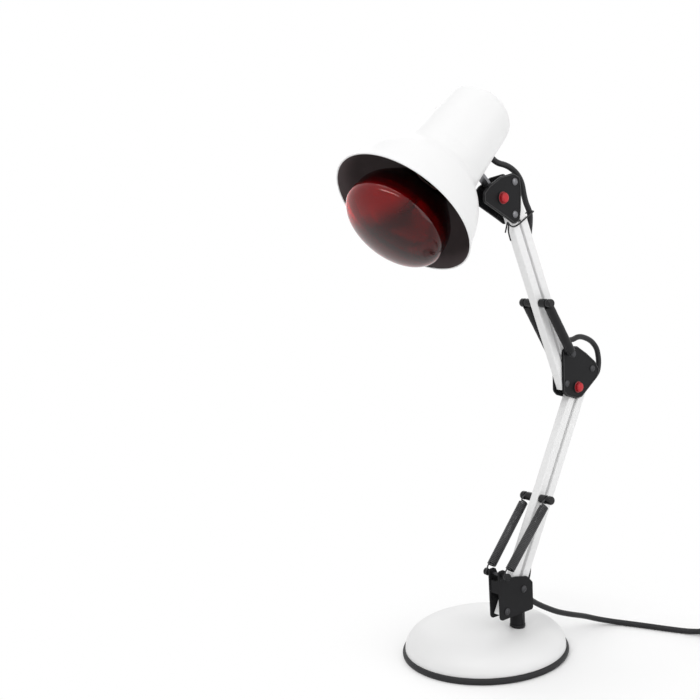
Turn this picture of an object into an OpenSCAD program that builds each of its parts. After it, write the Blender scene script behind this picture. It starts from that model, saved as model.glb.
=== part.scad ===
// Infrared heat therapy lamp: a weighted round base, a swivelling bracket, a two-stage
// parallelogram arm balanced by springs, and a bell shade with a ruby reflector bulb.
// Millimetres, +Z up. The origin is the centre of the underside of the base.
// The arm stands in a plane parallel to XZ; the shade points towards -X.

/* [Base] */
// Diameter over the rubber trim ring
base_d = 176; // [150:1:220]
// Height of the domed cover above the table
base_h = 36; // [30:1:48]
// Wall of the domed steel cover
base_wall = 1.2; // [0.8:0.1:2]
// Height of the trim ring
ring_h = 6.5; // [5:0.5:9]
// How far the trim ring stands out past the cover
ring_lip = 3; // [2:0.5:5]
// Height of the iron weight inside, in the middle
weight_h = 16; // [10:1:24]
// Thickness of the foam pad underneath
pad_t = 2; // [1:0.5:3]
// Distance from the base's centre to the swivel axis
socket_off = 40; // [25:1:50]
// Direction of the swivel axis seen from the base's centre, in degrees from +X
socket_turn = -78; // [-180:1:180]

/* [Swivel] */
// Diameter of the swivel pin
spigot_d = 10; // [8:0.5:12]
// Diameter of the black collar under the bracket
hub_d = 15.5; // [14:0.5:20]
// Height of the collar between the cover and the bracket
hub_h = 13; // [10:0.5:18]
// Thickness of the pivot plates
plate_t = 2; // [1.5:0.25:3]
// Diameter of the pivot pins
pin_d = 4; // [3:0.5:5]

/* [Arm] */
// Side of the square steel tubes
tube_w = 10; // [8:0.5:11]
// Wall of the square tubes
tube_wall = 1; // [0.8:0.1:1.4]
// Pivot to pivot length of the lower arm
lower_len = 246; // [200:1:300]
// Backward lean of the lower arm from upright, in degrees
lower_lean = 29; // [24:1:34]
// Pivot to pivot length of the upper arm
upper_len = 193; // [160:1:240]
// Forward lean of the upper arm from upright, in degrees
upper_lean = 22.6; // [20:0.1:40]
// Distance of the lower springs' pin above the lower pivot, along the tube
lower_pin_at = 120; // [110:1:150]
// Distance of the upper springs' pin above the elbow pivot, along the tube
upper_pin_at = 95; // [85:1:120]

/* [Springs] */
// Outer diameter of the balance springs
spring_d = 9.8; // [8.6:0.2:10]
// Wire diameter of the balance springs
wire_d = 1.6; // [1.2:0.1:1.8]
// Number of curls in each visible spring
spring_curls = 34; // [20:1:36]
// Outer diameter of the black sleeves on the upper springs
sleeve_d = 10.2; // [9.4:0.2:11]

/* [Shade] */
// Diameter over the rim of the shade
shade_d = 142; // [130:1:160]
// Depth of the bell from the rim to the neck
bell_l = 64; // [56:1:76]
// Radius of the neck where it meets the bell
neck_r = 38.5; // [36:0.5:42]
// Radius of the neck near its closed end
neck_end_r = 34; // [32:0.5:36]
// Length of the shade from the rim to the closed end
shade_l = 149; // [140:1:165]
// Wall of the pressed steel shade
shade_wall = 0.9; // [0.7:0.1:1.6]
// Tilt of the shade's axis below the horizontal, in degrees
shade_tilt = 42.5; // [0:0.5:85]

/* [Bulb] */
// Diameter of the reflector bulb
bulb_d = 99; // [90:1:102]
// Distance of the bulb's widest ring in front of the rim
bulb_out = 21; // [15:1:26]
// Height of the bulb's front dome
bulb_dome = 17; // [12:1:24]
// Radius of the bulb's neck
bulb_neck_r = 17; // [16:0.5:18]

/* [Lead] */
// Diameter of the flexible lead
cord_d = 6; // [5:0.1:6.4]

/* [Hidden] */

// Fits
run = 0.05;            // radial play of a pin in a turning bore
open_run = 0.1;        // radial play at the two pivots that close the parallelograms
seat = 0.02;           // radial play of a fixed pin in its plate
side_gap = 0.5;        // between a tube and the plates beside it
shell_gap = 0.3;       // between the weight and the cover

// Finishes
paint_white = [0.93, 0.93, 0.92];
plastic_black = [0.12, 0.12, 0.13];
steel_grey = [0.62, 0.63, 0.65];
spring_grey = [0.35, 0.36, 0.38];
cap_red = [0.72, 0.12, 0.14];

// The cover's outline falls as a power curve: how long it stays flat, how steeply it ends
dome_shoulder = 3;
dome_drop = 2.3;
cover_dip = 3;                               // depth of the ring's groove

// Heights of the base and the swivel
socket = [socket_off * cos(socket_turn), socket_off * sin(socket_turn)];
cover_r = base_d / 2 - ring_lip;
pad_r = cover_r - base_wall - shell_gap - 1.5;
bush_top = base_h + 1;
floor_z = bush_top + hub_h;                  // underside of the bracket's floor
flange_r = hub_d / 2 + 0.5;                  // bush flange on the cover
flange_z = dome_z(socket_off - flange_r, base_h, ring_h, cover_r) + 0.05;
bush_r = spigot_d / 2 + 2.7;
bush_foot = pad_t + 5;
gap_y = tube_w / 2 + side_gap;               // inner face of every pivot plate
out_y = gap_y + plate_t;                     // outer face of every pivot plate
head_t = 1.8;                                // height of a rivet head
head_r = pin_d / 2 + 1.7;
tube_end = tube_w / 2 + 0.5;                 // tube past its pivot
bolt_d = 5;

// Pivots, as [x, z] in the arm's plane, x measured from the swivel axis
low_offset = [25.5, 17];                     // rear pivot from the front pivot, lower pair
up_offset = [0.8, 32];                       // rear pivot from the front pivot, upper pair
L1 = [-23, floor_z + 8];
L2 = L1 + low_offset;
P1 = L1 + lower_len * [sin(lower_lean), cos(lower_lean)];
P2 = P1 + low_offset;
P3 = P1 + [-17.8, 5.8];
P4 = P3 + up_offset;
H1 = P3 + upper_len * [-sin(upper_lean), cos(upper_lean)];
H2 = H1 + up_offset;
T = H1 + [-17.3, 16.2];                      // tilt bolt of the shade
A = L1 + [-5.5, 39];                         // anchor of the lower springs
lower_pin = L1 + lower_pin_at * [sin(lower_lean), cos(lower_lean)];
upper_pin = P3 + upper_pin_at * [-sin(upper_lean), cos(upper_lean)];

// Springs stand at these distances from the arm's plane
anchor_y = out_y + spring_d / 2 + 0.2;
spring_y = 14.5;
pin_reach = 21;
anchor_d = pin_d - 0.4;
hook_play = 0.3;

// Shade: the axis runs from the rim's centre up to the closed end
shade_r = shade_d / 2;
tilt_dir = [cos(shade_tilt), sin(shade_tilt)];
tilt_side = [sin(shade_tilt), -cos(shade_tilt)];
gland_at = shade_l - 26;                     // where the lead leaves, from the rim
strap_l = 18;                                // foot of the strap, along the neck
strap_gap = 8;                               // from the strap to the lead's hole
strap_foot = gland_at - strap_gap - strap_l; // where the strap sits, from the rim
bolt_s = strap_foot + 3.8;                   // tilt bolt, along the axis from the rim
bolt_out = 73.2;                             // tilt bolt, out from the axis
rim = T - bolt_s * tilt_dir - bolt_out * tilt_side;
strap_w = tube_w;
strap_t = 2;
screw_d = 3;
strap_holes = [strap_foot + 7.5, strap_foot + 14];
neck_line_r = neck_r - 1.6;                  // where the tapering neck begins
function neck_at(s) = neck_end_r + (neck_line_r - neck_end_r) * (shade_l - 16 - s) / (shade_l - 42 - bell_l);
strap_r = neck_at(strap_foot) + 0.4;
gland_r = neck_at(gland_at);

// Lead inside the tubes: the slots it leaves by, along the tube from its lower pivot
slot_l = 26;
slot_w = cord_d + 0.8;
slot_from = 14;
slot_end = slot_from + slot_l;
head_slot = 46;                              // the upper rear tube's top slot starts further down
head_inner = head_slot + slot_l + 7;
lead_r = cord_d / 2;

/* ---------- helpers ---------- */

// Points of an outline with every corner turned into an arc
function unit(v) = v / norm(v);
function corner(a, b, c, r, n) =
    let (u = unit(a - b), v = unit(c - b), half = acos(u * v) / 2,
         reach = min(r / tan(half), norm(a - b) * 0.49, norm(c - b) * 0.49),
         p = b + u * reach, q = b + v * reach)
    [for (i = [0:n]) let (s = i / n) (1 - s) * (1 - s) * p + 2 * s * (1 - s) * b + s * s * q];
function rounded(pts, r, n = 4) =
    let (m = len(pts))
    [for (i = [0:m - 1]) each corner(pts[(i + m - 1) % m], pts[i], pts[(i + 1) % m], r, n)];

// Smooth curve through points, k steps to each stretch
function spline(p, k) =
    let (m = len(p))
    [for (i = [0:m - 2], s = [0:k - 1])
        let (a = p[max(i - 1, 0)], b = p[i], c = p[i + 1], d = p[min(i + 2, m - 1)], u = s / k)
        0.5 * (2 * b + (c - a) * u + (2 * a - 5 * b + 4 * c - d) * u * u
            + (3 * b - a - 3 * c + d) * u * u * u),
     p[m - 1]];

// Round tube swept along points: each ring's axes are carried on from the ring before
function heading(p, i) = unit(p[min(i + 1, len(p) - 1)] - p[max(i - 1, 0)]);
function square_to(t, v) = unit(v - (v * t) * t);
function carried(p) =
    let (first = square_to(heading(p, 0), abs(heading(p, 0).z) > 0.9 ? [0, 1, 0] : [0, 0, 1]))
    [for (i = 0, v = first; i < len(p);
        i = i + 1, v = i < len(p) ? square_to(heading(p, i), v) : v) v];
// Only the points from first to last are given a skin, where those are stated.
module sweep(p, r, sides, first = 0, last = -1) {
    up = carried(p);
    to = last < 0 ? len(p) - 1 : last;
    m = to - first + 1;
    rings = [for (i = [first:to], k = [0:sides - 1])
        let (t = heading(p, i), a = 360 * k / sides)
        p[i] + r * (cos(a) * up[i] + sin(a) * cross(t, up[i]))];
    walls = [for (i = [0:m - 2], k = [0:sides - 1])
        let (a = i * sides + k, b = i * sides + (k + 1) % sides)
        each [[a, a + sides, b], [b, a + sides, b + sides]]];
    ends = [[for (k = [0:sides - 1]) k], [for (k = [sides - 1:-1:0]) (m - 1) * sides + k]];
    polyhedron(points = rings, faces = concat(walls, ends), convexity = 10);
}
// Least distance between stretches of a tube that are at least skip points apart
function least_gap(p, skip, d) =
    min([for (i = [0:len(p) - 1 - skip]) min([for (j = [i + skip:len(p) - 1]) norm(p[i] - p[j])])]) - d;

module arm() translate([socket.x, socket.y, 0]) children();
module at(p) translate([p.x, 0, p.y]) children();
module lean(a) rotate([0, a, 0]) children();
module cross_bar(d, h, n = 40) rotate([90, 0, 0]) cylinder(d = d, h = h, center = true, $fn = n);
module both_sides() {
    children();
    mirror([0, 1, 0]) children();
}
// Flat plate in the arm's plane, from y = near to y = near + t
module flat(outline, near, t) translate([0, near + t, 0]) rotate([90, 0, 0]) linear_extrude(t) polygon(outline);
function as3(p, y = 0) = [p.x, y, p.y];
function swept(a, v) = [v.x * cos(a) + v.y * sin(a), -v.x * sin(a) + v.y * cos(a)];

// Rivet across the plates with a low domed head at each end
module rivet(reach, d = pin_d) {
    cross_bar(d, 2 * reach);
    both_sides() translate([0, -reach, 0]) rotate([90, 0, 0]) rotate_extrude($fn = 40)
        polygon([[0, 0], [head_r, 0], [head_r, 0.5], [head_r * 0.8, 1.3], [head_r * 0.45, head_t], [0, head_t]]);
}

/* ---------- base ---------- */

function dome_z(r, top, low, edge) =
    low + (top - low) * pow(max(0, 1 - pow(min(r / edge, 1), dome_shoulder)), 1 / dome_drop);
function dome_line(top, low, edge, n) =
    [for (i = [0:n]) let (r = edge * sin(90 * i / n)) [r, dome_z(r, top, low, edge)]];

function backwards(line) = [for (i = [len(line) - 1:-1:0]) line[i]];

module base_cover() color(paint_white) difference() {
    rotate_extrude($fn = 96) polygon(concat(
        dome_line(base_h, ring_h, cover_r, 20),
        [[cover_r, ring_h - cover_dip], [cover_r - base_wall, ring_h - cover_dip]],
        backwards(dome_line(base_h - base_wall, ring_h, cover_r - base_wall, 20))));
    socket_hole();
}
module socket_hole() arm() cylinder(r = bush_r + seat, h = 2 * base_h, $fn = 48);
// Room under the base for the nut that holds the bush
module nut_pocket() arm() translate([0, 0, -1]) cylinder(r = bush_r + 6, h = bush_foot + 5, $fn = 48);

module base_weight() color([0.28, 0.28, 0.29]) difference() {
    inset = base_wall + shell_gap;
    rotate_extrude($fn = 96) polygon(concat(
        [[0, pad_t], [pad_r, pad_t], [pad_r, ring_h - 2]],
        backwards(dome_line(weight_h, ring_h, cover_r - inset - 0.6, 16))));
    socket_hole();
    nut_pocket();
}

module base_pad() color([0.1, 0.1, 0.1]) difference() {
    cylinder(r = pad_r, h = pad_t - 0.02, $fn = 96);
    nut_pocket();
}

// The cover's edge stands in a groove of the ring
module trim_ring() color(plastic_black) rotate_extrude($fn = 96) polygon([
    [pad_r + 0.2, 0.3], [base_d / 2 - 1.2, 0.3], [base_d / 2, 1.6],
    [base_d / 2, ring_h - 1.6], [base_d / 2 - 1.2, ring_h],
    [cover_r + 0.05, ring_h], [cover_r + 0.05, ring_h - cover_dip - 0.05], [pad_r + 0.2, ring_h - cover_dip - 0.05]]);

module socket_bush() color(plastic_black) arm() difference() {
    union() {
        translate([0, 0, bush_foot]) cylinder(r = bush_r, h = bush_top - bush_foot, $fn = 48);
        translate([0, 0, flange_z]) cylinder(r = flange_r, h = bush_top - flange_z, $fn = 48);
    }
    cylinder(r = spigot_d / 2 + run, h = 2 * base_h, $fn = 48);
}

module bush_nut() color(steel_grey) arm() translate([0, 0, bush_foot - 1]) difference() {
    cylinder(r = bush_r + 4, h = 4.9, $fn = 6);
    translate([0, 0, -1]) cylinder(r = bush_r + seat, h = 8, $fn = 48);
}

/* ---------- swivel bracket ---------- */

bracket_outline = rounded([
    L1 + [-9.5, -4.5], L1 + [-8, -7.5], [L2.x + 14, floor_z], [L2.x + 14, L2.y + 4],
    L2 + [6, 12], L2 + [-8, 15], A + [8.5, -4.5], A + [3.5, 5], A + [-5, 5]], 3);

bridge_w = 2 * gap_y + 0.2;
// Two cheeks, a floor, a bridge in front and a collar round the swivel pin
module swivel_bracket() color(plastic_black) arm() difference() {
    union() {
        flat(bracket_outline, -out_y, plate_t);
        flat(bracket_outline, gap_y, plate_t);
        translate([-11, -bridge_w / 2, floor_z]) cube([L2.x + 24, bridge_w, plate_t]);
        translate([L1.x - 9.5, -bridge_w / 2, L1.y + 20]) cube([plate_t, bridge_w, 13]);
        translate([0, 0, bush_top + 0.1]) cylinder(d = hub_d, h = hub_h, $fn = 48);
    }
    for (p = [L1, L2]) at(p) cross_bar(pin_d + 2 * seat, 4 * out_y);
    at(A) cross_bar(anchor_d + 2 * seat, 4 * out_y);
    translate([0, 0, bush_top]) cylinder(d = spigot_d + 2 * seat, h = hub_h, $fn = 48);
    translate([0, 0, floor_z - 1]) cylinder(d = spigot_d - 4 + 2 * seat, h = plate_t + 2, $fn = 40);
}

// Steel pin, shouldered under the bracket's floor and riveted over above it
module swivel_spigot() color(steel_grey) arm() {
    translate([0, 0, bush_foot + 2]) cylinder(d = spigot_d, h = floor_z - bush_foot - 2.02, $fn = 48);
    translate([0, 0, floor_z - 1]) cylinder(d = spigot_d - 4, h = plate_t + 1.5, $fn = 40);
    translate([0, 0, floor_z + plate_t + 0.02]) cylinder(d = spigot_d, h = 1.5, $fn = 40);
}

module bracket_pins() color(steel_grey) arm() {
    at(L1) rivet(out_y + seat);
    at(L2) rivet(out_y + seat);
}

module spring_anchor_pin() color(steel_grey) arm() at(A) cross_bar(anchor_d, 2 * (anchor_y + 2.8));

module anchor_caps() color(plastic_black) arm() at(A) both_sides() translate([0, -anchor_y - 1, 0])
    rotate([90, 0, 0]) difference() {
        rotate_extrude($fn = 40) polygon([[0, 0], [3.4, 0], [3.6, 0.8], [3.6, 2.2], [2.8, 3], [0, 3]]);
        translate([0, 0, -1]) cylinder(d = anchor_d + 2 * seat, h = 2.85, $fn = 40);
    }

// Block between the cheeks that grips the lead where it leaves, sloping down
exit_p = L2 + [15.5, -16];
exit_fall = 36;
exit_dir = [cos(exit_fall), -sin(exit_fall)];
clamp_w = 2 * gap_y - 0.2;
module cord_clamp() color(plastic_black) arm() difference() {
    translate([exit_p.x - 6, -clamp_w / 2, floor_z + plate_t + 0.05]) cube([6, clamp_w, 12]);
    at(exit_p) rotate([0, 90 + exit_fall, 0]) cylinder(d = cord_d + 0.2, h = 60, center = true, $fn = 40);
}

/* ---------- springs ---------- */

coil_r = (spring_d - wire_d) / 2;
hook_r = pin_d / 2 + wire_d / 2 + hook_play;
leg = 8;
// A tension spring lying along +X from the pin at the origin to the pin at x = l.
// Hooks turn round the pins, which run along Y.
function hook(x, from, turn) =
    [for (i = [0:5]) let (a = from + turn * i / 6) [x + hook_r * cos(a), 0, hook_r * sin(a)]];
function spring_line(l) = concat(
    hook(0, -60, -210),
    [[1, 0, hook_r], [leg - 3.5, 0, coil_r + 0.2]],
    [for (i = [0:8 * spring_curls]) let (a = 45 * i)
        [leg + (l - 2 * leg) * i / (8 * spring_curls), coil_r * sin(a), coil_r * cos(a)]],
    [[l - leg + 3.5, 0, coil_r + 0.2], [l - 1, 0, hook_r]],
    backwards(hook(l, 240, 210)));
module spring(l) sweep(spring_line(l), wire_d / 2, 6);
// Stands a spring between two points of the arm
module between(a, b) {
    d = b - a;
    translate(a) rotate([0, -atan2(d.z, norm([d.x, d.y])), atan2(d.y, d.x)]) children();
}
low_l = norm(as3(lower_pin, spring_y) - as3(A, anchor_y));
module lower_spring(side) color(spring_grey) arm()
    between(as3(A, side * anchor_y), as3(lower_pin, side * spring_y)) spring(low_l);
module lower_spring_near() lower_spring(-1);
module lower_spring_far() lower_spring(1);

/* ---------- arm tubes ---------- */

tube_outline = rounded([[-1, -1], [1, -1], [1, 1], [-1, 1]] * tube_w / 2, 1.4, 3);
bore_outline = rounded([[-1, -1], [1, -1], [1, 1], [-1, 1]] * (tube_w / 2 - tube_wall), 0.6, 2);
module arm_tube(l, bores) difference() {
    translate([0, 0, -tube_end]) linear_extrude(l + 2 * tube_end) polygon(tube_outline);
    translate([0, 0, -tube_end - 1]) linear_extrude(l + 2 * tube_end + 2) polygon(bore_outline);
    for (b = bores) translate([0, 0, b]) cross_bar(pin_d + 2 * run, 2 * tube_w);
}
module slot(from) translate([0, -slot_w / 2, from]) cube([tube_w, slot_w, slot_l]);

module lower_front_tube() color(paint_white) arm() at(L1) lean(lower_lean) difference() {
    arm_tube(lower_len, [0, lower_pin_at]);
    translate([0, 0, lower_len]) cross_bar(bolt_d + 2 * open_run, 2 * tube_w);
}
module lower_rear_tube() color(paint_white) arm() at(L2) lean(lower_lean) difference() {
    arm_tube(lower_len, [0, lower_len]);
    slot(slot_from);
    slot(lower_len - slot_from - slot_l);
}
module upper_front_tube() color(paint_white) arm() at(P3) lean(-upper_lean) difference() {
    arm_tube(upper_len, [0, upper_pin_at]);
    translate([0, 0, upper_len]) cross_bar(pin_d + 2 * open_run, 2 * tube_w);
}
module upper_rear_tube() color(paint_white) arm() at(P4) lean(-upper_lean) difference() {
    arm_tube(upper_len, [0, upper_len]);
    slot(slot_from);
    slot(upper_len - head_slot - slot_l);
}

inner_from = slot_end + 2;
module inner_lead(upto) color(plastic_black) translate([0, 0, inner_from])
    cylinder(d = cord_d, h = upto - inner_from, $fn = 32);
module lower_rear_lead() arm() at(L2) lean(lower_lean) inner_lead(lower_len - inner_from);
module upper_rear_lead() arm() at(P4) lean(-upper_lean) inner_lead(upper_len - head_inner);

module spring_pin() cross_bar(pin_d, 2 * pin_reach - 2);
// Black spools on a spring pin: a spacer against the tube and an outer cap
module pin_caps() both_sides() translate([0, -tube_w / 2 - 0.1, 0]) rotate([90, 0, 0]) difference() {
    hook_z = spring_y - tube_w / 2 - 0.1;
    groove = wire_d / 2 + 0.3;
    rotate_extrude($fn = 40) polygon([
        [0, 0], [4.2, 0], [4.5, 1], [4.5, hook_z - groove - 0.4], [4.1, hook_z - groove],
        [pin_d / 2 + 0.1, hook_z - groove], [pin_d / 2 + 0.1, hook_z + groove], [4.1, hook_z + groove],
        [4.5, hook_z + groove + 0.6], [4.5, pin_reach - tube_w / 2 - 1.4], [3.7, pin_reach - tube_w / 2 - 0.1],
        [0, pin_reach - tube_w / 2 - 0.1]]);
    translate([0, 0, -1]) cylinder(d = pin_d + 2 * seat, h = pin_reach - tube_w / 2 - 0.08, $fn = 40);
}
module lower_spring_pin() color(steel_grey) arm() at(lower_pin) spring_pin();
module lower_pin_caps() color(plastic_black) arm() at(lower_pin) pin_caps();
module upper_spring_pin() color(steel_grey) arm() at(upper_pin) spring_pin();
module upper_pin_caps() color(plastic_black) arm() at(upper_pin) pin_caps();

/* ---------- elbow ---------- */

elbow_outline = rounded([
    P3 + [-5.5, -8.5], P3 + [0, -13.5], P1 + [-2, -12.5], P1 + [7, -11.5], P2 + [9, -10],
    P2 + [12.5, -3], P2 + [5, 7.5], P2 + [-9, 17.5], P4 + [17.5, 6], P4 + [4, 7.5], P4 + [-6, 4]], 5);
module elbow_plate(near) color(plastic_black) arm() difference() {
    flat(elbow_outline, near, plate_t);
    at(P1) cross_bar(bolt_d + 2 * seat, 4 * out_y);
    for (p = [P2, P3, P4]) at(p) cross_bar(pin_d + 2 * seat, 4 * out_y);
}
module elbow_plate_near() elbow_plate(-out_y);
module elbow_plate_far() elbow_plate(gap_y);
module elbow_pins() color(steel_grey) arm() {
    at(P2) rivet(out_y + seat);
    at(P3) rivet(out_y + seat);
}
module elbow_anchor_pin() color(steel_grey) arm() at(P4) {
    cross_bar(pin_d, 2 * (spring_y + 3));
    both_sides() translate([0, -spring_y - 1.6, 0]) rotate([90, 0, 0])
        rotate_extrude($fn = 40) polygon([[0, 0], [3.4, 0], [3.4, 1.2], [2.6, 2], [0, 2]]);
}

// Bolt with a hexagon nut on the far side
module pivot_bolt() {
    cross_bar(bolt_d, 2 * (out_y + 2));
    translate([0, out_y + 0.02, 0]) rotate([-90, 0, 0]) cylinder(d = 9.2, h = 4, $fn = 6);
    translate([0, -out_y - 0.02, 0]) rotate([90, 0, 0]) cylinder(d = 8, h = 2, $fn = 40);
}
// Dished red cap with a black collar, pressed over the bolt head
module bolt_cap() translate([0, -out_y - 0.05, 0]) rotate([90, 0, 0]) difference() {
    rotate_extrude($fn = 48) polygon([
        [0, 0], [6.4, 0], [6.4, 0.8], [5.6, 1.4], [5.2, 1.5], [5.2, 3.2], [4.6, 4.2], [3, 4.7], [0, 4.8]]);
    translate([0, 0, -1]) cylinder(d = 8 + 2 * seat, h = 3.05, $fn = 40);
}
module elbow_bolt() color(steel_grey) arm() at(P1) pivot_bolt();
module elbow_bolt_cap() color(cap_red) arm() at(P1) bolt_cap();

/* ---------- lead over the joints ---------- */

// Point of a tube's own frame, x across and z along, taken into the arm's frame
function lower_at(x, z) = as3(L2 + swept(lower_lean, [x, z]));
function upper_at(x, z) = as3(P4 + swept(-upper_lean, [x, z]));
// The lead's way out of a tube, as [out of the slot, distance from the pivot nearby]
way_out = [[0, slot_end + 1.8], [0, slot_end - 2], [1.6, slot_end - 8], [4.6, slot_end - 14.5],
    [7.4, slot_end - 21], [8.8, slot_end - 27]];

// Stretch of a lead between two of the points that it is drawn through
module lead(p, from = 0, upto = 0) color(plastic_black) arm()
    sweep(spline(p, 3), lead_r, 8, 3 * from, upto > 0 ? 3 * upto : -1);
loop_top = as3(P2) + [-4, 0, 34];
// The loop behind the elbow, from inside the lower tube to inside the upper one
elbow_route = concat(
    [for (w = way_out) lower_at(w.x + (w.y < slot_from + 1 ? 2 : 0), lower_len - w.y)],
    [for (v = [[16.8, -7.5], [20.4, 1], [20.4, 10], [17.3, 20], [8.5, 28.6]]) as3(P2 + v)],
    [loop_top, loop_top + [-10, 0, 1.4], loop_top + [-19.5, 0, -0.4], upper_at(14.6, 8.5)],
    [for (i = [4:-1:0]) upper_at(way_out[i].x + (i == 4 ? 1 : 0), way_out[i].y)]);
loop_at = len(way_out) + 5;
module elbow_lead_lower() lead(elbow_route, 0, loop_at);
module elbow_lead_upper() lead(elbow_route, loop_at);
module bracket_lead() lead(concat(
    [for (w = way_out) lower_at(w.x, w.y)],
    [lower_at(8.7, 4), as3(exit_p - 9.5 * exit_dir), as3(exit_p - 5 * exit_dir), as3(exit_p - 0.1 * exit_dir)]));

/* ---------- head joint ---------- */

head_outline = rounded([
    T + [-25.5, -4], T + [-25.5, 4.5], T + [-18, 11.5], H2 + [-20, 4.5], H2 + [-2, 8.5], H2 + [7.5, 5],
    H2 + [9.2, -8], H1 + [8.8, 4], H1 + [6.5, -6.5], H1 + [-1, -9.5], H1 + [-10, -4.5]], 4);
module head_plate(near) color(plastic_black) arm() difference() {
    flat(head_outline, near, plate_t);
    at(T) cross_bar(bolt_d + 2 * seat, 4 * out_y);
    for (p = [H1, H2]) at(p) cross_bar(pin_d + 2 * seat, 4 * out_y);
}
module head_plate_near() head_plate(-out_y);
module head_plate_far() head_plate(gap_y);
module head_pins() color(steel_grey) arm() {
    at(H1) rivet(out_y + seat);
    at(H2) rivet(out_y + seat);
}
module tilt_bolt() color(steel_grey) arm() at(T) pivot_bolt();
module tilt_bolt_cap() color(cap_red) arm() at(T) bolt_cap();

function head_p(s, r) = rim + s * tilt_dir + r * tilt_side;
function head_at(s, r) = as3(head_p(s, r));
// The lead bends over the head joint at this point, clear above the plates
over_head = H2 + [3.5, 15];
tie_u = upper_len - 39;
tie_x = 15.5;
head_route = concat(
    [for (v = [[0, 3.3], [0, 6.5], [-1, 10.5], [-5, 20]]) head_at(gland_at + v.x, gland_r + v.y)],
    [as3(over_head) + [-9, 0, 4.6], as3(over_head)],
    [for (v = [[12, 8], [18.3, -0.5], [21.4, -12]]) as3(H2 + v)],
    [for (w = [
        [14.6, 28], [tie_x, 39], [12, 48], [7.4, 55.5], [3.2, 62.5], [0.6, 69], [0, 74], [0, head_inner - 0.2]])
        upper_at(w.x, upper_len - w.y)]);
module head_lead_upper() lead(head_route, 0, 5);
module head_lead_lower() lead(head_route, 5);

// Thin wire tied round the rear tube and the lead, with its twisted ends brought round in front
tie_r = 0.6;
function tie_at(x, y, u) = upper_at(x, u) + [0, y, 0];
module lead_tie() color(plastic_black) arm() {
    side = tube_w / 2 + tie_r + 0.1;
    round_lead = (lead_r + tie_r + 0.15) / cos(22.5);
    knot = as3(H1, -6.6) + [-9.8, 0, -7.6];
    sweep([knot + [-5, -1, -10], knot + [-1.5, 0, -3], knot, as3(H1, -6) + [-5.6, 0, -10.8],
        as3(H1, -side - 0.2) + [0, 0, -12], as3(H1, -side - 0.1) + [7.6, 0, -9.4],
        tie_at(side, -side, tie_u),
        for (a = [-90:45:90]) tie_at(tie_x + round_lead * cos(a), round_lead * sin(a), tie_u),
        tie_at(side, side, tie_u), tie_at(1 - side, side, tie_u), tie_at(-side, side - 1, tie_u),
        tie_at(-side, 1 - side, tie_u)], tie_r, 8);
    sweep([for (v = [[0, 0, 0], [0.5, -0.6, -4], [0.2, -0.4, -9], [2, 0, -14], [4, 0.4, -18]]) knot + v], tie_r, 8);
}

/* ---------- shade ---------- */

// Places a shape drawn along +Z onto the shade's axis, with z = 0 at the rim
module on_axis() arm() at(rim) rotate([0, 90 - shade_tilt, 0]) children();

// Outer line of the bell, from the rim to the neck: stations along the axis and radii
bell_line = spline([
    [shade_r, 0], [shade_r - 4.2, 11], [shade_r - 9, 28], [shade_r - 17, 43],
    [neck_r + 2, bell_l - 4], [neck_r - 0.8, bell_l + 12]], 4);
neck_line = concat(
    [[neck_line_r, bell_l + 26], [neck_end_r, shade_l - 16]],
    [for (i = [1:6]) let (a = 15 * i) [neck_end_r - 15 + 15 * cos(a), shade_l - 15 + 15 * sin(a)]]);
outer_line = concat(bell_line, neck_line, [[0, shade_l]]);
inner_line = [for (p = outer_line) [max(p.x - shade_wall, 0),
    p.y >= shade_l - 0.1 ? p.y - shade_wall : min(p.y, shade_l - shade_wall)]];

module shade() color(paint_white) arm() difference() {
    at(rim) rotate([0, 90 - shade_tilt, 0]) rotate_extrude($fn = 96) polygon(concat(outer_line, backwards(inner_line)));
    at(rim) rotate([0, 90 - shade_tilt, 0]) translate([0, 0, gland_at]) rotate([0, 90, 0])
        cylinder(d = cord_d + 2 + 2 * seat, h = 2 * neck_r, $fn = 40);
    screw_holes();
}

// Steel strap screwed to the neck, bent square to an eye on the tilt bolt.
// It is drawn flat as [distance from the rim, distance from the axis] and stood on the shade.
strap_line = [[strap_foot, strap_r], [strap_foot + strap_l, strap_r], [strap_foot + strap_l, strap_r + strap_t],
    [strap_foot + strap_t + 1, strap_r + strap_t], [bolt_s + 1.5, bolt_out - 4], [bolt_s - 1.5, bolt_out - 4]];
module shade_strap() color(steel_grey) arm() difference() {
    union() {
        flat([for (p = strap_line) head_p(p.x, p.y)], -strap_w / 2, strap_w);
        at(T) cross_bar(13, strap_w);
    }
    at(T) cross_bar(bolt_d + 2 * run, 2 * strap_w);
    screw_holes();
}
module screw_holes() at(rim) rotate([0, 90 - shade_tilt, 0]) for (s = strap_holes) translate([0, 0, s])
    rotate([0, 90, 0]) cylinder(d = screw_d + 2 * seat, h = 2 * neck_r, $fn = 32);

module strap_screws() color(steel_grey) on_axis() for (s = strap_holes)
    translate([strap_r + strap_t + 0.02, 0, s]) rotate([0, 90, 0]) {
        translate([0, 0, -strap_t - 5]) cylinder(d = screw_d, h = strap_t + 5.1, $fn = 32);
        rotate_extrude($fn = 32) polygon([[0, 0], [2.8, 0], [2.8, 0.6], [1.8, 1.6], [0, 1.8]]);
    }

module lead_gland() color(plastic_black) on_axis() translate([gland_r, 0, gland_at]) rotate([0, 90, 0]) difference() {
    rotate_extrude($fn = 40) polygon([[0, -4], [cord_d / 2 + 1, -4], [cord_d / 2 + 1, 0.5], [cord_d / 2 + 2, 0.5],
        [cord_d / 2 + 1.4, 3], [0, 3]]);
    translate([0, 0, -6]) cylinder(d = cord_d + 0.2, h = 12, $fn = 40);
}

/* ---------- lamp holder and bulb ---------- */

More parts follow.
